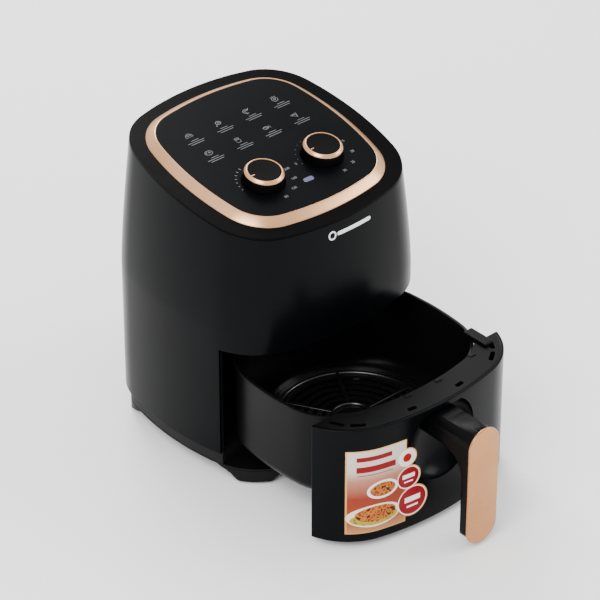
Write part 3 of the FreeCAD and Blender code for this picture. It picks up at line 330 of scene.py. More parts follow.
def moulded(name, colour, second=None, rough=0.4, roughSpread=0.08, grain=2500, bump=0.1, depth=0.00005,
            metal=0, coat=0, coatRough=0.1, specular=0.5, stretch=(1, 1, 1), cloud=14, dust=0.0):
    # two colours clouded together, fine grain in the bump and slow changes in the roughness
    look, shader, add, link = newLook(name)
    place = add("TexCoord")
    turn = add("Mapping", {"Scale": stretch})
    link(place.outputs["Object"], turn.inputs["Vector"])

    def noise(scale, detail, source):
        made = add("TexNoise", {"Scale": scale, "Detail": detail})
        link(source, made.inputs["Vector"])
        return made.outputs["Fac"]

    slow = noise(cloud, 4, place.outputs["Object"])
    fine = noise(grain, 3, turn.outputs["Vector"])
    ramp = add("ValToRGB")
    ramp.color_ramp.elements[0].position = 0.35
    ramp.color_ramp.elements[1].position = 0.68
    ramp.color_ramp.elements[0].color = (*colour, 1)
    ramp.color_ramp.elements[1].color = (*(second or [c * 1.25 for c in colour]), 1)
    link(slow, ramp.inputs["Fac"])
    tone = ramp.outputs["Color"]
    if dust:
        specks = noise(900, 2, place.outputs["Object"])
        keep = add("MapRange", {"From Min": 0.70, "From Max": 0.78, "To Max": dust})
        link(specks, keep.inputs["Value"])
        mixed = add("Mix")
        mixed.data_type = "RGBA"
        setInputs(mixed, {mixSockets["second"]: (0.35, 0.34, 0.33, 1)})
        link(keep.outputs["Result"], mixed.inputs[mixSockets["factor"]])
        link(tone, mixed.inputs[mixSockets["first"]])
        tone = mixed.outputs[mixSockets["result"]]
    link(tone, shader.inputs["Base Color"])
    level = add("MapRange", {"From Min": 0.3, "From Max": 0.7, "To Min": rough - roughSpread,
                             "To Max": rough + roughSpread})
    link(slow, level.inputs["Value"])
    link(level.outputs["Result"], shader.inputs["Roughness"])
    relief = add("Bump", {"Strength": bump, "Distance": depth})
    link(fine, relief.inputs["Height"])
    link(relief.outputs["Normal"], shader.inputs["Normal"])
    setInputs(shader, {"Metallic": metal, "Specular IOR Level": specular, "Coat Weight": coat,
                       "Coat Roughness": coatRough})
    return look


finishes = {
    "shellGloss": dict(colour=(0.0009, 0.0011, 0.0015), second=(0.0013, 0.0015, 0.0020), rough=0.24,
                       roughSpread=0.03, grain=1800, bump=0.03, specular=0.06),
    "frameGloss": dict(colour=(0.0008, 0.0008, 0.0009), rough=0.26, roughSpread=0.03, bump=0.03,
                       specular=0.03),
    "panelSatin": dict(colour=(0.0013, 0.0016, 0.0021), rough=0.34, roughSpread=0.03, bump=0.05,
                       specular=0.03),
    "baseMatte": dict(colour=(0.0022, 0.0022, 0.0024), rough=0.5, grain=1400, bump=0.35, dust=0.02,
                      specular=0.14),
    "knobBlack": dict(colour=(0.0006, 0.0006, 0.0007), rough=0.34, grain=3000, bump=0.06, specular=0.04),
    "roseGold": dict(colour=(0.60, 0.32, 0.155), second=(0.70, 0.39, 0.20), rough=0.30, roughSpread=0.03,
                     grain=2600, bump=0.12, metal=0.8, coat=0.1),
    "roseFace": dict(colour=(0.44, 0.19, 0.068), second=(0.52, 0.24, 0.09), rough=0.28, roughSpread=0.03,
                     grain=1600, bump=0.06, metal=0.7, stretch=(1, 1, 0.06), coat=0.1),
    "panCoating": dict(colour=(0.0026, 0.0026, 0.0028), rough=0.34, roughSpread=0.05, grain=900, bump=0.22,
                       dust=0.04, specular=0.08),
    "trayCoating": dict(colour=(0.0030, 0.0030, 0.0032), rough=0.22, roughSpread=0.04, grain=900, bump=0.12,
                        dust=0.05, specular=0.55),
    "cavityBlack": dict(colour=(0.0030, 0.0030, 0.0032), rough=0.45, grain=1200, bump=0.2, specular=0.2),
    "handleBlack": dict(colour=(0.0009, 0.0009, 0.0011), rough=0.36, grain=2200, bump=0.10, specular=0.07),
    "bridgeBlack": dict(colour=(0.0018, 0.0018, 0.0020), rough=0.40, grain=1500, bump=0.22, specular=0.07),
    "steelSheet": dict(colour=(0.50, 0.50, 0.51), second=(0.60, 0.60, 0.61), rough=0.36, metal=1, grain=900,
                       bump=0.15, stretch=(1, 8, 8)),
    "steelDark": dict(colour=(0.10, 0.09, 0.085), second=(0.20, 0.16, 0.13), rough=0.42, metal=0.9,
                      grain=900, bump=0.2, cloud=40),
    "steelBright": dict(colour=(0.70, 0.70, 0.71), rough=0.18, metal=1, grain=2500, bump=0.05),
    "aluminium": dict(colour=(0.62, 0.62, 0.64), rough=0.3, metal=1, grain=1200, bump=0.12,
                      stretch=(10, 1, 1)),
    "rubberBlack": dict(colour=(0.006, 0.006, 0.006), rough=0.75, grain=1600, bump=0.4, dust=0.1,
                        specular=0.2),
    "ivoryPlastic": dict(colour=(0.60, 0.57, 0.48), rough=0.45, grain=1800, bump=0.1),
    "redPlastic": dict(colour=(0.50, 0.04, 0.02), rough=0.3, grain=1800, bump=0.05),
    "lampGlass": dict(colour=(0.060, 0.062, 0.14), second=(0.085, 0.09, 0.18), rough=0.25, coat=0.2,
                      grain=2000, bump=0.05),
    "printWhite": dict(colour=(0.10, 0.105, 0.11), second=(0.17, 0.18, 0.19), rough=0.5, grain=4000,
                       bump=0.1),
    "badgeSilver": dict(colour=(0.70, 0.70, 0.70), rough=0.35, metal=0.3, grain=3000, bump=0.08),
    "brass": dict(colour=(0.55, 0.38, 0.14), rough=0.32, metal=1, grain=1500, bump=0.1),
}
looks = {name: moulded(name, **settings) for name, settings in finishes.items()}


def labelLook(card):
    # a printed card: each shape is a mask in the label's own x and z, laid over the last one
    look, shader, add, link = newLook("labelPrint")
    place = add("TexCoord")
    split = add("SeparateXYZ")
    link(place.outputs["Object"], split.inputs["Vector"])

    def maths(operation, first, second=0.0, third=0.0):
        made = add("Math")
        made.operation = operation
        for i, value in enumerate((first, second, third)):
            if isinstance(value, (int, float)):
                made.inputs[i].default_value = value
            else:
                link(value, made.inputs[i])
        return made.outputs[0]

    def reach(axis, middle, half):
        away = maths("ABSOLUTE", maths("SUBTRACT", split.outputs[axis], middle * mm))
        return maths("DIVIDE", away, half * mm)

    def disc(x, z, rx, rz=None):
        u, w = reach("X", x, rx), reach("Z", z, rz or rx)
        far = maths("ADD", maths("MULTIPLY", u, u), maths("MULTIPLY", w, w))
        return maths("LESS_THAN", far, 1.0)

    def bar(x, z, halfX, halfZ):
        inX = maths("LESS_THAN", reach("X", x, halfX), 1.0)
        inZ = maths("LESS_THAN", reach("Z", z, halfZ), 1.0)
        return maths("MULTIPLY", inX, inZ)

    def either(*masks):
        total = masks[0]
        for mask in masks[1:]:
            total = maths("MAXIMUM", total, mask)
        return total

    def over(under, mask, colour):
        made = add("Mix")
        made.data_type = "RGBA"
        link(mask, made.inputs[mixSockets["factor"]])
        link(under, made.inputs[mixSockets["first"]])
        if isinstance(colour, tuple):
            setInputs(made, {mixSockets["second"]: (*colour, 1)})
        else:
            link(colour, made.inputs[mixSockets["second"]])
        return made.outputs[mixSockets["result"]]

    def ramped(source, stops):
        made = add("ValToRGB")
        while len(made.color_ramp.elements) < len(stops):
            made.color_ramp.elements.new(0.5)
        for element, (at, colour) in zip(made.color_ramp.elements, stops):
            element.position = at
            element.color = (*colour, 1)
        link(source, made.inputs["Fac"])
        return made.outputs["Color"]

    low, high = card["low"], card["high"]
    rise = maths("DIVIDE", maths("SUBTRACT", split.outputs["Z"], low * mm), (high - low) * mm)
    paper = ramped(rise, [(0.0, (0.42, 0.20, 0.09)), (0.16, (0.26, 0.045, 0.016)),
                          (0.42, (0.24, 0.030, 0.014)),
                          (0.64, (0.40, 0.17, 0.11)), (0.78, (0.56, 0.50, 0.44)),
                          (1.0, (0.56, 0.52, 0.46))])
    crumbs = add("TexVoronoi")
    crumbs.inputs["Scale"].default_value = card["crumbs"]
    link(place.outputs["Object"], crumbs.inputs["Vector"])
    food = ramped(crumbs.outputs["Distance"], [(0.0, (0.42, 0.11, 0.012)), (0.3, (0.18, 0.012, 0.003)),
                                               (0.55, (0.50, 0.17, 0.025)), (0.8, (0.07, 0.005, 0.002))])
    salad = ramped(crumbs.outputs["Distance"], [(0.0, (0.03, 0.09, 0.008)), (0.5, (0.36, 0.28, 0.03))])
    middle = card["middle"]
    border = card["border"]
    inner = either(bar(middle, (low + high) / 2, card["half"] - border, (high - low) / 2 - border),
                   *[disc(x, z, r - border) for x, z, r in card["lobes"]])
    colour = over(ramped(rise, [(0, (0.52, 0.26, 0.07)), (1, (0.62, 0.36, 0.12))]), inner, paper)
    for x, z, halfX, halfZ in card["redBars"]:
        colour = over(colour, bar(x, z, halfX, halfZ), (0.19, 0.003, 0.006))
    for x, z, halfX, halfZ in card["thinBars"]:
        colour = over(colour, bar(x, z, halfX, halfZ), (0.22, 0.14, 0.12))
    plateX, plateZ = card["plate"]
    colour = over(colour, disc(plateX, plateZ, 16, 10.5), (0.80, 0.76, 0.70))
    colour = over(colour, disc(plateX, plateZ, 13, 8), food)
    mealX, mealZ = card["meal"]
    colour = over(colour, disc(mealX, mealZ, 26, 13), (0.76, 0.66, 0.52))
    colour = over(colour, disc(mealX, mealZ - 3, 23, 8), salad)
    colour = over(colour, disc(mealX + 1, mealZ + 2, 20, 9), food)
    for i, (x, z, r) in enumerate(card["lobes"]):
        colour = over(colour, disc(x, z, r - border), (0.84, 0.78, 0.70))
        if i == 0:
            colour = over(colour, disc(x, z, r - 3.2), (0.80, 0.74, 0.68))
            colour = over(colour, disc(x, z, r - 6.2), (0.30, 0.004, 0.004))
        else:
            colour = over(colour, disc(x, z, r - 2.2), (0.22, 0.004, 0.010))
            colour = over(colour, bar(x, z + r * 0.12, r * 0.5, r * 0.17), (0.85, 0.80, 0.76))
            colour = over(colour, bar(x, z - r * 0.34, r * 0.36, r * 0.06), (0.85, 0.80, 0.76))
    link(colour, shader.inputs["Base Color"])
    shader.inputs["Specular IOR Level"].default_value = 0.12
    ripple = add("TexNoise")
    ripple.inputs["Scale"].default_value = 45
    link(place.outputs["Object"], ripple.inputs["Vector"])
    sheen = add("MapRange", {"To Min": 0.22, "To Max": 0.36})
    link(ripple.outputs["Fac"], sheen.inputs["Value"])
    link(sheen.outputs["Result"], shader.inputs["Roughness"])
    relief = add("Bump", {"Strength": 0.06, "Distance": 0.0004})
    link(ripple.outputs["Fac"], relief.inputs["Height"])
    link(relief.outputs["Normal"], shader.inputs["Normal"])
    return look


label = {"low": 19, "high": 116, "middle": -75, "half": 29,
         "lobes": [(-45, 94, 11), (-43, 70, 14), (-38, 41, 18)],
         "redBars": [(-79, 106, 17, 2.6), (-77, 94, 19, 3.4)],
         "thinBars": [(-78, 87, 17, 0.7)], "plate": (-71, 67), "meal": (-78, 38),
         "border": 1.1, "crumbs": 260}
looks["label"] = labelLook(label)
print("looks made", len(looks))


# housing: one swept body, drawn in above the shoulder, gives both the shell and the top's cover

shell = {"low": 34, "shoulder": 176, "sides": 11.6, "ends": 10.8, "shift": 2.2, "power": 1.35, "wall": 3,
         "openingTop": 157.7, "openingFront": -71, "ventHalf": 46, "ventLow": 190.7, "ventHigh": 240.7,
         "edge": 0.8, "seam": 2.2}


def slopePoint(drop):
    up = Vector((0, -math.sin(slope["tilt"]), math.cos(slope["tilt"])))
    return (Vector((0, 0, slope["height"])) - up * drop), up


def sweepBody(name, heights):
    rise = slope["height"] - shell["shoulder"]
    share = {z: max(0, (z - shell["shoulder"]) / rise) ** shell["power"] for z in heights}
    profile = [(shell["sides"] * share[z], z) for z in heights]
    piece = sweepSquare(name, *drawnIn(), profile, steps=(16, 14))
    for z in heights:
        if share[z] == 0:
            continue
        pick(piece, "VERT", lambda p: abs(p.z - z) < 0.1)  # the back draws in less than the front
        deep = bowed["halfY"] - shell["sides"] * share[z]
        factor = (bowed["halfY"] - shell["ends"] * share[z]) / deep
        bpy.ops.transform.resize(value=(1, factor, 1), center_override=(0, 0, z * mm))
        shiftBy((0, shell["shift"] * share[z] * mm, 0))
    return piece


def makeShell():
    top = shell["openingTop"]
    heights = [shell["low"], 60, 90, 125, top, 176, 182, 190, 200, 212, 225, 240, 255, 270, 285, 300, 315,
               332]
    piece = sweepBody("housingShell", heights)
    point, up = slopePoint(shell["seam"])
    bisectAll(point, up, "outer")
    pick(piece, "FACE", lambda p: p.z < top)
    bisect((0, shell["openingFront"], 0), (0, 1, 0))
    pick(piece, "FACE", lambda p: p.z < top and p.y < shell["openingFront"])
    deleteFaces()
    for point, normal in (((0, 0, shell["ventLow"]), (0, 0, 1)), ((0, 0, shell["ventHigh"]), (0, 0, 1)),
                          ((shell["ventHalf"], 0, 0), (1, 0, 0)), ((-shell["ventHalf"], 0, 0), (1, 0, 0))):
        pick(piece, "FACE", lambda p: p.y > 90 and abs(p.x) < 70 and 180 < p.z < 260)
        bisect(point, normal)
    pick(piece, "FACE", lambda p: p.y > 90 and abs(p.x) < shell["ventHalf"]
         and shell["ventLow"] < p.z < shell["ventHigh"])
    deleteFaces()
    weld()
    thicken(piece, shell["wall"])
    soften(piece, shell["edge"], 3, 50)
    settle(piece, "shellGloss", "housing", ["outer_shell"])


makeShell()
print("shell done")


# sloping top: the cover follows the shell's own outline, ring and panel are drawn flat at height nought

top = {"hem": 0.25, "edge": 1.3, "reach": 30, "ringHalf": (102.2, 103.2), "ringCorner": 50,
       "panelHalf": (92.5, 93.5), "panelCorner": 40.3}


def makeTop():
    piece = sweepBody("topFrame", [262, 270, 278, 286, 294, 300, 306, 312, 318, 324, 332])
    point, up = slopePoint(shell["seam"] - top["hem"])
    bisectAll(point, up, "inner")
    bisectAll(slopePoint(0)[0], up, "outer", True)
    pick(piece, "FACE", lambda p: abs((p - slopePoint(0)[0]).dot(up)) < 0.05)
    bpy.ops.mesh.inset(thickness=top["reach"] * mm)
    deleteFaces()
    weld()
    thicken(piece, shell["seam"] - top["hem"])
    soften(piece, top["edge"], 4, 50)
    settle(piece, "frameGloss", "housing", ["top_frame"])

    band = [(0, 0), (0.15, 0.5), (0.5, 1.0), (2.6, 2.8), (5.4, 5.0), (8.0, 6.8), (8.5, 7.1), (8.9, 7.2),
            (9.2, 7.1), (9.4, 6.7), (9.4, 0), (0, 0)]
    piece = sweepSquare("trimRing", *top["ringHalf"], top["ringCorner"], band, steps=(14, 14))
    settle(piece, "roseGold", "housing", ["trim_ring"], "slope", 24)

    edge = [(0, 0), (0, 6.2), (0.12, 6.55), (0.35, 6.75), (0.7, 6.8), (1.6, 6.8)]
    piece = sweepSquare("controlPanel", *top["panelHalf"], top["panelCorner"], edge, steps=(14, 12))
    capRing(piece, 6.8)
    capRing(piece, 0)
    weld()
    settle(piece, "panelSatin", "housing", ["control_panel"], "slope", 24)


makeTop()
print("top done")


# printed marks: thin raised strokes on the panel

marks = {"height": 6.82, "wire": 0.30, "columns": (-55.3, -18.3, 18.3, 55.3), "rows": (52, 21.5),
         "dial": 37.7, "forward": -39.5, "captions": ((-3, 6), (-9, 11), (-7, 9)), "captionDrop": 7.5,
         "captionStep": 2.6, "tick": 0.42, "tickFrom": 25.4, "tickLength": 1.2, "tickGrowth": 0.25,
         "dot": 0.62, "dotRing": 26.4, "digit": 4.4, "digitThick": 0.08, "heatRing": 31, "timeRing": 31.5}


def stroke(points, wire, height):
    piece = drawLine("stroke", [(x, y, height) for x, y in points])
    if len(points) > 2 and points[0] == points[-1]:
        bpy.ops.mesh.remove_doubles(threshold=weldGap)
    takeUp(piece)
    bpy.ops.object.convert(target="CURVE")
    line = bpy.context.object
    line.data.bevel_depth = wire * mm
    line.data.bevel_resolution = 1
    line.data.use_fill_caps = True
    bpy.ops.object.convert(target="MESH")
    line = bpy.context.object
    bpy.ops.object.mode_set(mode="EDIT")
    selectAll()
    bpy.ops.transform.resize(value=(1, 1, 0.4), center_override=(0, 0, height * mm))  # flat like ink
    bpy.ops.object.mode_set(mode="OBJECT")
    return line


def ringPoints(x, y, rx, ry, count=18, start=0, sweep=360):
    turns = [math.radians(start + sweep * i / count) for i in range(count + 1)]
    points = [(x + rx * math.cos(a), y + ry * math.sin(a)) for a in turns]
    if sweep == 360:
        points[-1] = points[0]
    return points


def foodIcons():
    # eight plain food outlines about 9 mm across, each round (0, 0)
    chips = [[(-4.5, -2), (-3.5, 1.5), (3.5, 2.2), (4.5, -1.5), (-4.5, -2)], [(-3, 0), (3.6, 0.6)],
             [(-2, 1.6), (-1, 3.4), (1.5, 3.6), (2.6, 2.2)]]
    leg = [ringPoints(1, 1, 3, 2.4, 14), [(-1.4, -0.4), (-3.4, -2.6), (-4.3, -2.2)],
           [(-3.4, -2.6), (-3, -3.6)], ringPoints(1.4, 1.2, 1.2, 0.9, 10)]
    prawn = [ringPoints(0, 0, 3.8, 3.2, 14, 40, 250), ringPoints(0, 0, 1.9, 1.4, 10, 40, 230),
             [(2.9, 2.1), (4.4, 3.6)], [(1.4, 0.9), (3.4, 2)], [(-2.2, -2.8), (-0.9, -4.3)]]
    cake = [ringPoints(0, 0, 3.6, 3.6, 6), ringPoints(0, 0.4, 1.2, 1.2, 8), [(0, 3.6), (0, 5)],
            [(-2, 3.2), (-3, 4.4)], [(2, 3.2), (3, 4.4)]]
    steak = [ringPoints(0, 0, 4.3, 3, 16), ringPoints(1, 0.3, 1, 0.8, 8), [(-3.1, -0.6), (-1.4, 1.4)]]
    fries = [[(-2.8, 0.6), (-2, -3.4), (2, -3.4), (2.8, 0.6), (-2.8, 0.6)], [(-2, 0.6), (-2.4, 3.2)],
             [(-0.7, 0.6), (-0.8, 4)], [(0.7, 0.6), (0.9, 4)], [(2, 0.6), (2.5, 3.2)]]
    fish = [ringPoints(-0.6, 0, 3.2, 1.9, 14), [(2.5, 0), (4.6, 1.8), (4.6, -1.8), (2.5, 0)],
            [(-2.4, 0.4), (-2.1, 0.4)], [(-0.8, 1.6), (0, 0), (-0.8, -1.6)],
            [(1, 1.2), (1.5, 0), (1, -1.2)]]
    pizza = [[(-4.6, 1.6), (3.4, 3), (1.6, -3.4), (-4.6, 1.6)], [(2.9, 2.2), (1.2, -2.6)],
              ringPoints(0.4, 1, 0.8, 0.8, 8), ringPoints(-1.8, 1.2, 0.6, 0.6, 8)]
    return [chips, leg, prawn, cake, steak, fries, fish, pizza]


def makeMarks():
    lines = []
    icons = foodIcons()
    height, wire = marks["height"], marks["wire"]
    for row, y in enumerate(marks["rows"]):
        for column, x in enumerate(marks["columns"]):
            for points in icons[row * 4 + column]:
                lines.append(stroke([(x + a, y + b) for a, b in points], wire, height))
            for number, (start, end) in enumerate(marks["captions"]):
                down = y - marks["captionDrop"] - marks["captionStep"] * number
                lines.append(stroke([(x + start, down), (x + end, down)], wire, height))
    left, right, forward = -marks["dial"], marks["dial"], marks["forward"]
    for i in range(7):  # ticks that grow with the heat
        turn = math.radians(180 - 12 * i)
        inner = marks["tickFrom"]
        outer = inner + marks["tickLength"] + marks["tickGrowth"] * i
        points = [(left + r * math.cos(turn), forward + r * math.sin(turn)) for r in (inner, outer)]
        lines.append(stroke(points, marks["tick"], height))
    for i in range(12):  # minute dots
        turn = math.radians(182 - 16.2 * i - (0 if i < 7 else 6))
        centre = right + marks["dotRing"] * math.cos(turn), forward + marks["dotRing"] * math.sin(turn)
        lines.append(stroke([centre, (centre[0] + 0.25, centre[1])], marks["dot"], height))
    numbers = [(left, marks["heatRing"], a, n) for a, n in ((2, 200), (-26, 160), (-54, 120), (-84, 80))]
    numbers += [(right, marks["timeRing"], a, n)
                for a, n in ((176, 0), (8, 15), (-24, 20), (-55, 25), (-85, 30))]
    for middle, radius, turn, count in numbers:
        clearSelection()
        x = middle + radius * math.cos(math.radians(turn))
        y = forward + radius * math.sin(math.radians(turn))
        bpy.ops.object.text_add(location=(x * mm, y * mm, height * mm))
        text = bpy.context.object
        text.data.body = str(count)
        text.data.size = marks["digit"] * mm
        text.data.extrude = marks["digitThick"] * mm
        text.data.align_x = "CENTER"
        text.data.align_y = "CENTER"
        bpy.ops.object.convert(target="MESH")
        freeze()
        lines.append(bpy.context.object)
    piece = joinAll("panelMarks", lines)
    settle(piece, "printWhite", "housing", (), "slope")


makeMarks()


def makeLamp():
    lens = {"x": 1.5, "y": -61.5, "long": 6.1, "wide": 2.9, "low": 4.0, "high": 7.2}
    piece = turned("lampLens", [(0, lens["low"]), (lens["wide"], lens["low"]),
                                (lens["wide"], lens["high"] - 0.4),
                                (lens["wide"] - 0.3, lens["high"] - 0.1), (0, lens["high"])],
                   (lens["x"], lens["y"]), 32)
    for side in (-1, 1):  # pulls the two halves apart to a lozenge
        pick(piece, "VERT", lambda p: side * (p.x - lens["x"]) > 0.05)
        shiftBy((side * (lens["long"] - lens["wide"]) * mm, 0, 0))
    settle(piece, "lampGlass", "housing", ["indicator_lens"], "slope")


makeLamp()
print("marks done")


# knobs: a flared black body, a bright bevelled ring and a cap with a pointer

knob = {"foot": 22, "crown": 19.8, "low": 7.4, "crownHeight": 16.8, "ringTop": 20.0, "hole": 16.7}


def makeKnob(name, x, body, stem):
    at = (x, marks["forward"])
    low, high = knob["low"], knob["crownHeight"]
    profile = [(0, low), (21.0, low), (21.7, low + 0.15), (knob["foot"], low + 0.6), (21.85, low + 1.3),
               (21.3, low + 3.4), (20.7, low + 5.8), (20.2, low + 8.0), (knob["crown"], high - 0.3),
               (knob["crown"] - 0.5, high), (14, high), (0, high)]
    piece = turned(f"{name}KnobBody", profile, at, 72)
    settle(piece, "knobBlack", body, [f"{stem}_knob"], "slope")
    hole = knob["hole"]
    ring = [(knob["crown"] - 0.3, high), (knob["crown"] + 0.1, high + 0.2), (knob["crown"], high + 0.7),
            (18.9, high + 1.9), (17.9, 19.75), (17.7, 19.95), (17.3, knob["ringTop"]), (16.9, 19.9),
            (hole, 19.6), (hole, high), (knob["crown"] - 0.3, high)]
    piece = turned(f"{name}KnobRing", ring, at, 96)
    settle(piece, "roseGold", body, [f"{stem}_knob_ring"], "slope", 40)
    cap = [(0, high), (hole - 0.1, high), (hole - 0.1, 19.2), (16.3, 19.45), (15.7, 19.5), (12, 19.35),
           (0, 19.3)]
    piece = turned(f"{name}KnobCap", cap, at, 72)
    pointer = cubeAt("pointer", (x - 16.4, at[1] - 0.55, 19.0), (x - 12.2, at[1] + 0.55, 19.9), 0.3, 2)
    settle(piece, "knobBlack", body, [f"{stem}_knob_cap"], "slope")
    pointer.name = pointer.data.name = f"{name}KnobPointer"
    settle(pointer, "roseGold", body, (), "slope")


makeKnob("temperature", -marks["dial"], "temperature_dial", "temperature")
makeKnob("timer", marks["dial"], "timer_dial", "timer")
print("knobs done")


# base with its feet

base = {"half": (126.5, 121.5), "corner": 65.5, "plateLow": 15.5, "plateHigh": 18.6, "rimHigh": 33.9,
        "front": -69.5, "footX": 86, "footY": 82, "sillHalf": 113, "sillBack": -66.5, "limitInset": 0.6}


def makeBase():
    low, floor, high = base["plateLow"], base["plateHigh"], base["rimHigh"]
    rim = [(3.2, floor), (0.8, floor), (0.2, 20.2), (0, 23), (0, 31.6), (-2.2, 33.2), (-2.4, high),
           (3.2, high), (3.2, floor)]
    piece = sweepSquare("baseRim", *base["half"], base["corner"], rim, steps=(14, 14))
    bisectAll((0, base["front"], 0), (0, 1, 0), "inner", True)
    weld()
    plateProfile = [(5, low), (2.4, 15.6), (1.2, 16.2), (0.5, 17.2), (0.3, floor), (5, floor)]
    plate = sweepSquare("basePlate", *base["half"], base["corner"], plateProfile, steps=(14, 14))
    capRing(plate, low)
    pick(plate, "EDGE", lambda p: abs(p.z - floor) < 0.02)
    capTop(plate)
    weld()
    clearSelection()
    sill = cubeAt("baseSill", (-base["sillHalf"], base["front"], 18),
                  (base["sillHalf"], base["sillBack"], 34.9), 0.6, 2)
    feet = []
    for x in (-base["footX"], base["footX"]):
        for y in (-base["footY"], base["footY"]):
            profile = [(0, 3), (23.6, 3), (24.6, 3.2), (25.2, 3.9), (25.8, 5.6), (27.2, 8.2), (29.6, 11),
                       (32.6, 13.3), (36, 15), (38, 16.2), (0, 16.2)]
            foot = turned("foot", profile, (x, y), 56)
            inset = base["limitInset"]
            limit = slab("footLimit", base["half"][0] - inset, base["half"][1] - inset,
                         base["corner"] - inset, 2, 20)
            carve(foot, limit, "INTERSECT")
            feet.append(foot)
    piece = joinAll("baseMoulding", [piece, plate, sill] + feet)
    settle(piece, "baseMatte", "housing", ["base"], None, 35)


makeBase()
print("base done")


# back: air outlet and cord gland

outlet = {"half": 45.8, "low": 191, "high": 240.4, "front": 118.6, "back": 121.8, "slots": 7,
          "slotHalf": 39, "slotFrom": 5, "slotTall": 3, "slotStep": 6}


def makeOutlet():
    clearSelection()
    middle = (outlet["low"] + outlet["high"]) / 2
    bpy.ops.mesh.primitive_plane_add(size=mm, location=(0, outlet["back"] * mm, middle * mm),
                                     rotation=(math.radians(-90), 0, 0))
    piece = named("outletCover")
    freeze()
    openMesh(piece)
    selectAll()
    bpy.ops.transform.resize(value=(2 * outlet["half"], 1, outlet["high"] - outlet["low"]),
                             center_override=(0, outlet["back"] * mm, middle * mm))
    first = outlet["low"] + outlet["slotFrom"]
    starts = [first + outlet["slotStep"] * i for i in range(outlet["slots"])]
    levels = [(start, start + outlet["slotTall"]) for start in starts]
    for level in [z for pair in levels for z in pair]:
        bisectAll((0, 0, level), (0, 0, 1))
    for x in (-outlet["slotHalf"], 0, outlet["slotHalf"]):
        bisectAll((x, 0, 0), (1, 0, 0))
    pick(piece, "FACE", lambda p: abs(p.x) < outlet["slotHalf"] and any(a < p.z < b for a, b in levels))
    deleteFaces()
    weld(False)
    thicken(piece, outlet["back"] - outlet["front"])
    soften(piece, 0.6, 3, 40)
    settle(piece, "bridgeBlack", "housing", ["rear_vent_cover"])


def makeGland():
    gland = {"x": -60, "z": 62, "start": 105, "end": 124.6}
    end = gland["end"]
    profile = [(3.6, gland["start"]), (3.6, end - 0.6), (4.2, end), (9.4, end), (10.6, end - 0.5),
               (11.2, end - 1.6), (11.4, end - 4.8), (11.4, 117), (7.9, 117), (7.9, gland["start"] + 0.5),
               (7.4, gland["start"]), (3.6, gland["start"])]
    piece = drawLine("cordGland", [(gland["x"] + r, y, gland["z"]) for r, y in profile])
    bpy.ops.mesh.spin(steps=48, angle=2 * math.pi, center=(gland["x"] * mm, 0, gland["z"] * mm),
                      axis=(0, 1, 0))
    weld()
    settle(piece, "rubberBlack", "housing", ["cord_gland"])


makeOutlet()
makeGland()
print("back done")


# drawer: everything is drawn shut, then pulled out

pan = {"half": (111, 93.5), "corner": 60, "shift": 4, "floor": 55, "rim": 151, "wall": 1.2, "round": 14,
       "flat": 40}


def makePan():
    bend, floor, wall = pan["round"], pan["floor"], pan["wall"]
    arc = [math.pi / 2 * i / 7 for i in range(8)]
    outside = [(bend - bend * math.cos(a), floor + bend - bend * math.sin(a)) for a in reversed(arc)]
    inside = [(bend - (bend - wall) * math.cos(a), floor + bend - (bend - wall) * math.sin(a)) for a in arc]
    lip = [(0, 147.6), (-0.6, 148.6), (-1.5, 148.9), (-2.2, 149.3), (-2.5, 150.0), (-2.2, 150.7),
           (-1.5, pan["rim"]), (-0.2, pan["rim"]), (0.7, 150.7), (1.15, 150.0), (wall, 149)]
    flat = pan["flat"]
    profile = [(flat, floor)] + outside + [(0, 100)] + lip + [(wall, 100)] + inside
    profile.append((flat, floor + wall))
    piece = sweepSquare("fryingPan", *pan["half"], pan["corner"], profile, pan["shift"], (14, 16))
    capRing(piece, floor)
    capRing(piece, floor + wall)
    weld()
    settle(piece, "panCoating", "drawer", ["pan"], "drawer", 40)


makePan()

front = {"low": 26, "high": 156.5, "wall": 3.5, "cupWall": 2, "lead": 1.5, "limitInset": 0.6, "back": -71.6,
         "scoopHalf": 43, "scoopDeep": 22, "scoopTall": 44,
         "scoopHeight": 113.5, "scoopTop": 150.5}


def makeFront():
    heights = [front["low"], 40, 60, 80, 100, 120, 140, front["high"]]
    piece = sweepSquare("drawerFront", *drawnIn(), [(0, z) for z in heights], steps=(20, 16))
    bisectAll((0, front["back"], 0), (0, 1, 0), "outer")
    weld()
    thicken(piece, front["wall"])
    soften(piece, 0.9, 3, 50)
    middle = (0, -bowed["halfY"] - front["lead"], front["scoopHeight"])
    radii = (front["scoopHalf"], front["scoopDeep"], front["scoopTall"])

    def scoopBall(name, wall):
        ball = ballAt(name, middle, [r + wall for r in radii])
        openMesh(ball)
        bisectAll((0, 0, front["scoopTop"] + wall), (0, 0, 1), "outer", True)
        clearSelection()
        return ball

    cup = scoopBall("cup", front["cupWall"])
    limit = slab("cupLimit", *drawnIn(front["limitInset"]), 30, 155, 0, (20, 16))
    carve(cup, limit, "INTERSECT")
    carve(piece, cup, "UNION")
    carve(piece, scoopBall("scoopSpace", 0))
    settle(piece, "shellGloss", "drawer", ["drawer_front"], "drawer", 30)


makeFront()
print("drawer front done")

bridge = {"low": 152.9, "high": 156.6, "inset": 3.4, "gap": 2.9, "slotHalf": 2.3, "clipHalf": 4,
          "clips": [(-74, -84.5), (-20, -94), (20, -94), (74, -84.5)],
          "tab": ((92.7, -85, 153), (104.7, -53.2, 159.9)),
          "slots": [(101.5, -84.5, 15, 62), (88, -99.5, 15, 36), (31, -113.2, 10, 7)]}


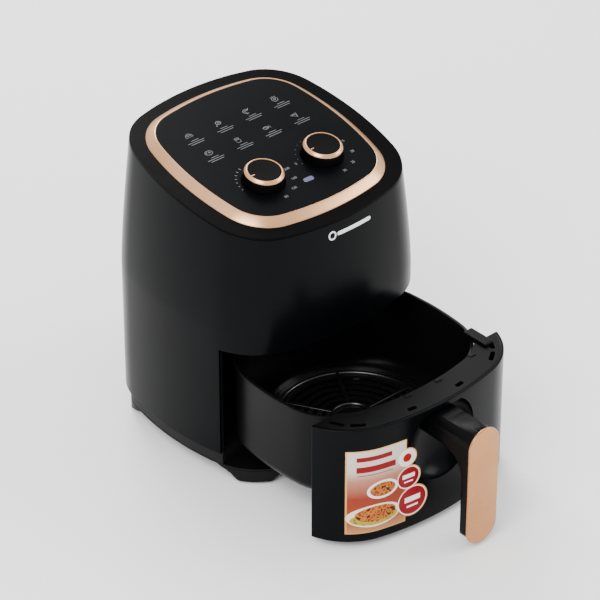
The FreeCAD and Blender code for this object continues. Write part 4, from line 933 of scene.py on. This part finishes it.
def makeBridge():
    half = bridge["slotHalf"]
    piece = slab("drawerBridge", *drawnIn(bridge["inset"]), bridge["low"], bridge["high"], 0, (20, 16))
    openMesh(piece)
    bisectAll((0, front["back"], 0), (0, 1, 0), "outer", True)
    clearSelection()
    gap = bridge["gap"]
    hollow = slab("rimSpace", pan["half"][0] + gap, pan["half"][1] + gap, pan["corner"] + gap, 140, 170,
                  pan["shift"], (20, 20))
    carve(piece, hollow)
    for side in (-1, 1):
        for x, y, long, turn in bridge["slots"]:
            slot = cubeAt("slot", (-long / 2, -half, 150), (long / 2, half, 160), 1.6, 3)
            slot.location = (side * x * mm, y * mm, 0)
            slot.rotation_euler = (0, 0, side * math.radians(turn))
            takeUp(slot)
            freeze()
            carve(piece, slot)
    tab = cubeAt("switchTab", *bridge["tab"], 1.4, 3)
    clips = []
    wide = bridge["clipHalf"]
    for x, y in bridge["clips"]:
        clips.append(cubeAt("clip", (x - wide, y - 3.6, 153.4), (x + wide, y + 1.4, 157.4), 0.7, 2))
    soften(piece, 0.5, 2, 50)
    piece = joinAll("drawerBridge", [piece, tab] + clips)
    settle(piece, "bridgeBlack", "drawer", ["drawer_bridge"], "drawer", 35)


makeBridge()

handle = {"width": 17, "front": -178.5, "back": -165.5, "low": 22.5, "high": 152.5, "face": -181.5,
          "faceHalf": 19.5, "faceLow": 21, "faceHigh": 154, "bend": 26, "bendHeight": 95.5,
          "crown": ((2.2, 0.0), (6, 0.35), (6, 0.15))}


def stadium(name, half, low, high, fore, aft, steps=48):
    # a bar with round ends: a disc whose halves are drawn apart, then given its depth
    piece = frontDisc(name, 0, fore, low + half, half, steps)
    pick(piece, "VERT", lambda p: p.z > low + half - 0.01)
    shiftBy((0, 0, (high - low - 2 * half) * mm))
    bpy.ops.mesh.select_mode(type="FACE")
    selectAll()
    extrudeBy((0, (aft - fore) * mm, 0))
    weld()
    clearSelection()
    return piece


def makeHandle():
    back, frontY, low, high = handle["back"], handle["front"], handle["low"], handle["high"]
    bend = handle["bend"]
    arch = [(back + bend - bend * math.cos(a), handle["bendHeight"] + bend * math.sin(a))
            for a in [math.pi / 2 * i / 10 for i in range(11)]]
    brow = [(-140, 148.6), (-148, 149.0), (-156, 150.0), (-163, 151.3), (-170, 152.2), (frontY, high + 0.4)]
    under = [(-120, 122), (-101, 122.5), (-101, 148.5)]
    side = [(frontY, low - 0.4), (back, low - 0.4), (back, 60)] + arch + under + brow
    piece = drawLine("handleBody", [(-handle["width"], y, z) for y, z in side + [side[0]]])
    bpy.ops.mesh.remove_doubles(threshold=weldGap)
    bpy.ops.mesh.select_mode(type="EDGE")
    selectAll()
    bpy.ops.mesh.edge_face_add()
    bpy.ops.mesh.select_mode(type="FACE")
    selectAll()
    extrudeBy((2 * handle["width"] * mm, 0, 0))
    weld()
    clearSelection()
    soften(piece, 4.5, 5, 50)
    rounded = stadium("gripLimit", handle["width"], low, high, frontY - 0.5, -90, 64)
    carve(piece, rounded, "INTERSECT")
    reach = ballAt("armReach", (0, -bowed["halfY"] - front["lead"], front["scoopHeight"]),
                   (front["scoopHalf"], front["scoopDeep"] + 0.4, front["scoopTall"]))
    ahead = cubeAt("armAhead", (-60, -200, 0), (60, -bowed["halfY"] - front["lead"], 200))
    carve(reach, ahead, "UNION")
    carve(piece, reach, "INTERSECT")
    settle(piece, "handleBlack", "drawer", ["handle"], "drawer", 40)

    face = stadium("handleFace", handle["faceHalf"], handle["faceLow"], handle["faceHigh"], handle["face"],
                   handle["front"], 64)
    openMesh(face)
    pick(face, "FACE", lambda p: p.y < handle["face"] + 0.05)
    for inward, rise in handle["crown"]:  # swells towards the middle
        bpy.ops.mesh.inset(thickness=inward * mm, depth=rise * mm)
    clearSelection()
    soften(face, 1.2, 4, 50)
    settle(face, "roseFace", "drawer", ["handle_face"], "drawer", 50)


makeHandle()
print("handle done")


# crisper tray: a slotted plate with raised rings, ribs and a rim

tray = {"shift": 4, "low": 68.2, "radius": 88, "plate": 1.8,
        "rows": [(27, 31), (36.5, 40.5), (46, 50), (55.5, 59.5),
        (65, 69)], "step": 5, "webStep": 20, "webEdge": 2.4, "ridges": ((76, 2.6, 4.2), (21, 2.2, 3.6)),
        "ribs": 6,
        "footReach": 45.8}


def makeTray():
    radii = [0, 12, 21] + [r for row in tray["rows"] for r in row] + [73, 80, 87.6]
    high = tray["low"] + tray["plate"]
    centre = (0, tray["shift"])
    piece = turned("trayPlate", [(r, high) for r in radii], centre, 360 // tray["step"])

    edge = tray["webEdge"]

    def inSlot(p):
        radius = math.hypot(p.x, p.y - tray["shift"])
        turn = math.degrees(math.atan2(p.y - tray["shift"], p.x)) % tray["webStep"]
        between = edge < turn < tray["webStep"] - edge
        return between and any(a < radius < b for a, b in tray["rows"])

    pick(piece, "FACE", inSlot)
    deleteFaces()
    weld()
    thicken(piece, tray["plate"])
    soften(piece, 0.45, 2, 50)
    parts = [piece]
    for radius, wide, tall in tray["ridges"]:
        arc = [(radius - wide * math.cos(a), high - 0.4 + tall * math.sin(a))
               for a in [math.pi * i / 8 for i in range(9)]]
        ridge = turned("trayRidge", arc + [arc[0]], centre, 72)
        clearSelection()
        parts.append(ridge)
    rim = [(87.9, 66.9), (tray["radius"], 75.4), (87.7, 76.1), (87, 76.3), (86.3, 76.1), (86, 75.4),
           (86, 69.2), (85.4, 66.9), (87.9, 66.9)]
    parts.append(turned("trayRim", rim, centre, 72))
    clearSelection()
    for i in range(tray["ribs"]):
        rib = cubeAt("trayRib", (20.5, -2.2, high - 0.6), (76, 2.2, high + 3.2), 1.2, 3)
        rib.rotation_euler = (0, 0, math.radians(360 / tray["ribs"] * i))
        rib.location = (0, tray["shift"] * mm, 0)
        takeUp(rib)
        freeze()
        parts.append(rib)
    for x in (-tray["footReach"], tray["footReach"]):
        for y in (-tray["footReach"], tray["footReach"]):
            profile = [(0, 56.3), (4, 56.3), (4.5, 56.9), (4.5, 68.6), (0, 68.6)]
            parts.append(turned("trayFoot", profile, (x, y + tray["shift"]), 24))
            clearSelection()
    piece = joinAll("crisperTray", parts)
    settle(piece, "trayCoating", "tray", ["crisper_tray"], "drawer", 40)


makeTray()
print("tray done")

# pieces of the frame that keep their own shape
kept = {
    "foot_pads": "rubberBlack", "opening_frame": "bridgeBlack", "inner_liner": "cavityBlack",
    "heat_reflector": "steelSheet", "heater_coil": "steelDark", "heater_clips": "steelSheet",
    "heater_guard": "steelDark", "motor": "steelDark", "motor_bracket": "steelSheet",
    "motor_screws": "steelBright", "hot_air_fan": "aluminium", "cooling_fan": "aluminium",
    "motor_shaft": "steelBright", "fan_nut": "steelBright", "thermostat_body": "ivoryPlastic",
    "timer_body": "steelSheet", "timer_bell": "brass", "temperature_shaft": "steelBright",
    "timer_shaft": "steelBright", "drawer_switch": "bridgeBlack", "switch_plunger": "redPlastic",
    "thermal_fuse": "ivoryPlastic", "terminal_block": "ivoryPlastic", "outlet_duct": "steelSheet",
    "base_screws": "steelBright", "drawer_inner_cover": "bridgeBlack", "pan_bracket": "steelSheet",
    "bracket_rivets": "steelBright", "handle_screws": "steelBright", "front_label": "label",
    "tray_bumpers": "rubberBlack",
}
for node, look in kept.items():
    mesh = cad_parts[node].data
    mesh.materials.clear()
    mesh.materials.append(looks[look])
print("kept nodes finished", len(kept))


# emblem on the upper front: a plain ring and bar laid on the curved wall

emblem = {"height": 266, "ahead": -135, "ringX": -17, "ringRadius": 4.6, "ringHole": 3.1, "barFrom": -9,
          "barTo": 31,
          "barHalf": 2, "thick": 0.3}


def makeEmblem(wall):
    ahead, height = emblem["ahead"], emblem["height"]
    ring = frontDisc("emblemRing", emblem["ringX"], ahead, height, emblem["ringRadius"], 40)
    selectAll()
    bpy.ops.mesh.inset(thickness=(emblem["ringRadius"] - emblem["ringHole"]) * mm)
    deleteFaces()
    clearSelection()
    bar = frontDisc("emblemBar", emblem["barFrom"], ahead, height, emblem["barHalf"], 24)
    pick(bar, "VERT", lambda p: p.x > emblem["barFrom"] - 0.01)
    shiftBy(((emblem["barTo"] - emblem["barFrom"]) * mm, 0, 0))
    for x in range(emblem["barFrom"] + 2, emblem["barTo"], 3):
        bisectAll((x, 0, 0), (1, 0, 0))
    clearSelection()
    piece = joinAll("frontEmblem", [ring, bar])
    applyModifier(piece, "SHRINKWRAP", target=wall, wrap_method="PROJECT", use_project_y=True,
                  use_positive_direction=True, use_negative_direction=False)
    openMesh(piece)
    selectAll()
    bpy.ops.mesh.normals_make_consistent(inside=False)
    mesh = bmesh.from_edit_mesh(piece.data)
    if sum(face.normal.y for face in mesh.faces) > 0:
        bpy.ops.mesh.flip_normals()
    clearSelection()
    applyModifier(piece, "SOLIDIFY", thickness=emblem["thick"] * mm, offset=1)
    settle(piece, "badgeSilver", "housing")


makeEmblem(bpy.data.objects["housingShell"])


# stage, light and camera

studio = {"floor": 0.93, "extent": 14, "world": 1.35, "key": 60, "fill": 30, "rim": 60}


def makeStage():
    clearSelection()
    bpy.ops.mesh.primitive_plane_add(size=studio["extent"], location=(0, 0, -0.0002))
    floor = bpy.context.object
    floor.name = "floor"
    look, shader = newLook("paleFloor")[:2]
    setInputs(shader, {"Base Color": (studio["floor"],) * 3 + (1,), "Roughness": 0.9,
                       "Specular IOR Level": 0.1})
    floor.data.materials.append(look)
    world = bpy.data.worlds.new("studio")
    bpy.context.scene.world = world
    world.use_nodes = True
    setInputs(world.node_tree.nodes["Background"], {"Color": (1, 1, 1, 1), "Strength": studio["world"]})
    for name, where, size, power in (("key", (-1.6, -0.9, 1.9), 1.4, studio["key"]),
                                     ("fill", (1.9, -1.3, 1.2), 1.2, studio["fill"]),
                                     ("rim", (0.8, 1.8, 1.8), 1.2, studio["rim"])):
        bpy.ops.object.light_add(type="AREA", location=where)
        lamp = bpy.context.object
        lamp.name = name
        lamp.data.size = size
        lamp.data.energy = power
        lamp.rotation_euler = (Vector((0, 0, 0.15)) - Vector(where)).to_track_quat("-Z", "Y").to_euler()


camera = {"turn": -40.52, "rise": 32.79, "far": 3.22955, "lens": 193.23, "aim": (0, 0.00883, 0.150),
          "right": 0.0393, "down": 0.0225}


def makeCamera():
    turn, rise = math.radians(camera["turn"]), math.radians(camera["rise"])
    back = Vector((math.sin(turn) * math.cos(rise), -math.cos(turn) * math.cos(rise), math.sin(rise)))
    right = Vector((math.cos(turn), math.sin(turn), 0))
    up = back.cross(right)
    where = Vector(camera["aim"]) + back * camera["far"]
    look = Vector(camera["aim"]) + right * camera["right"] - up * camera["down"]
    clearSelection()
    bpy.ops.object.camera_add(location=where)
    eye = bpy.context.object
    eye.rotation_euler = (look - where).to_track_quat("-Z", "Y").to_euler()
    eye.data.lens = camera["lens"]
    eye.data.sensor_width = 36
    eye.data.clip_end = 30
    bpy.context.scene.camera = eye


makeStage()
makeCamera()
print("stage done")
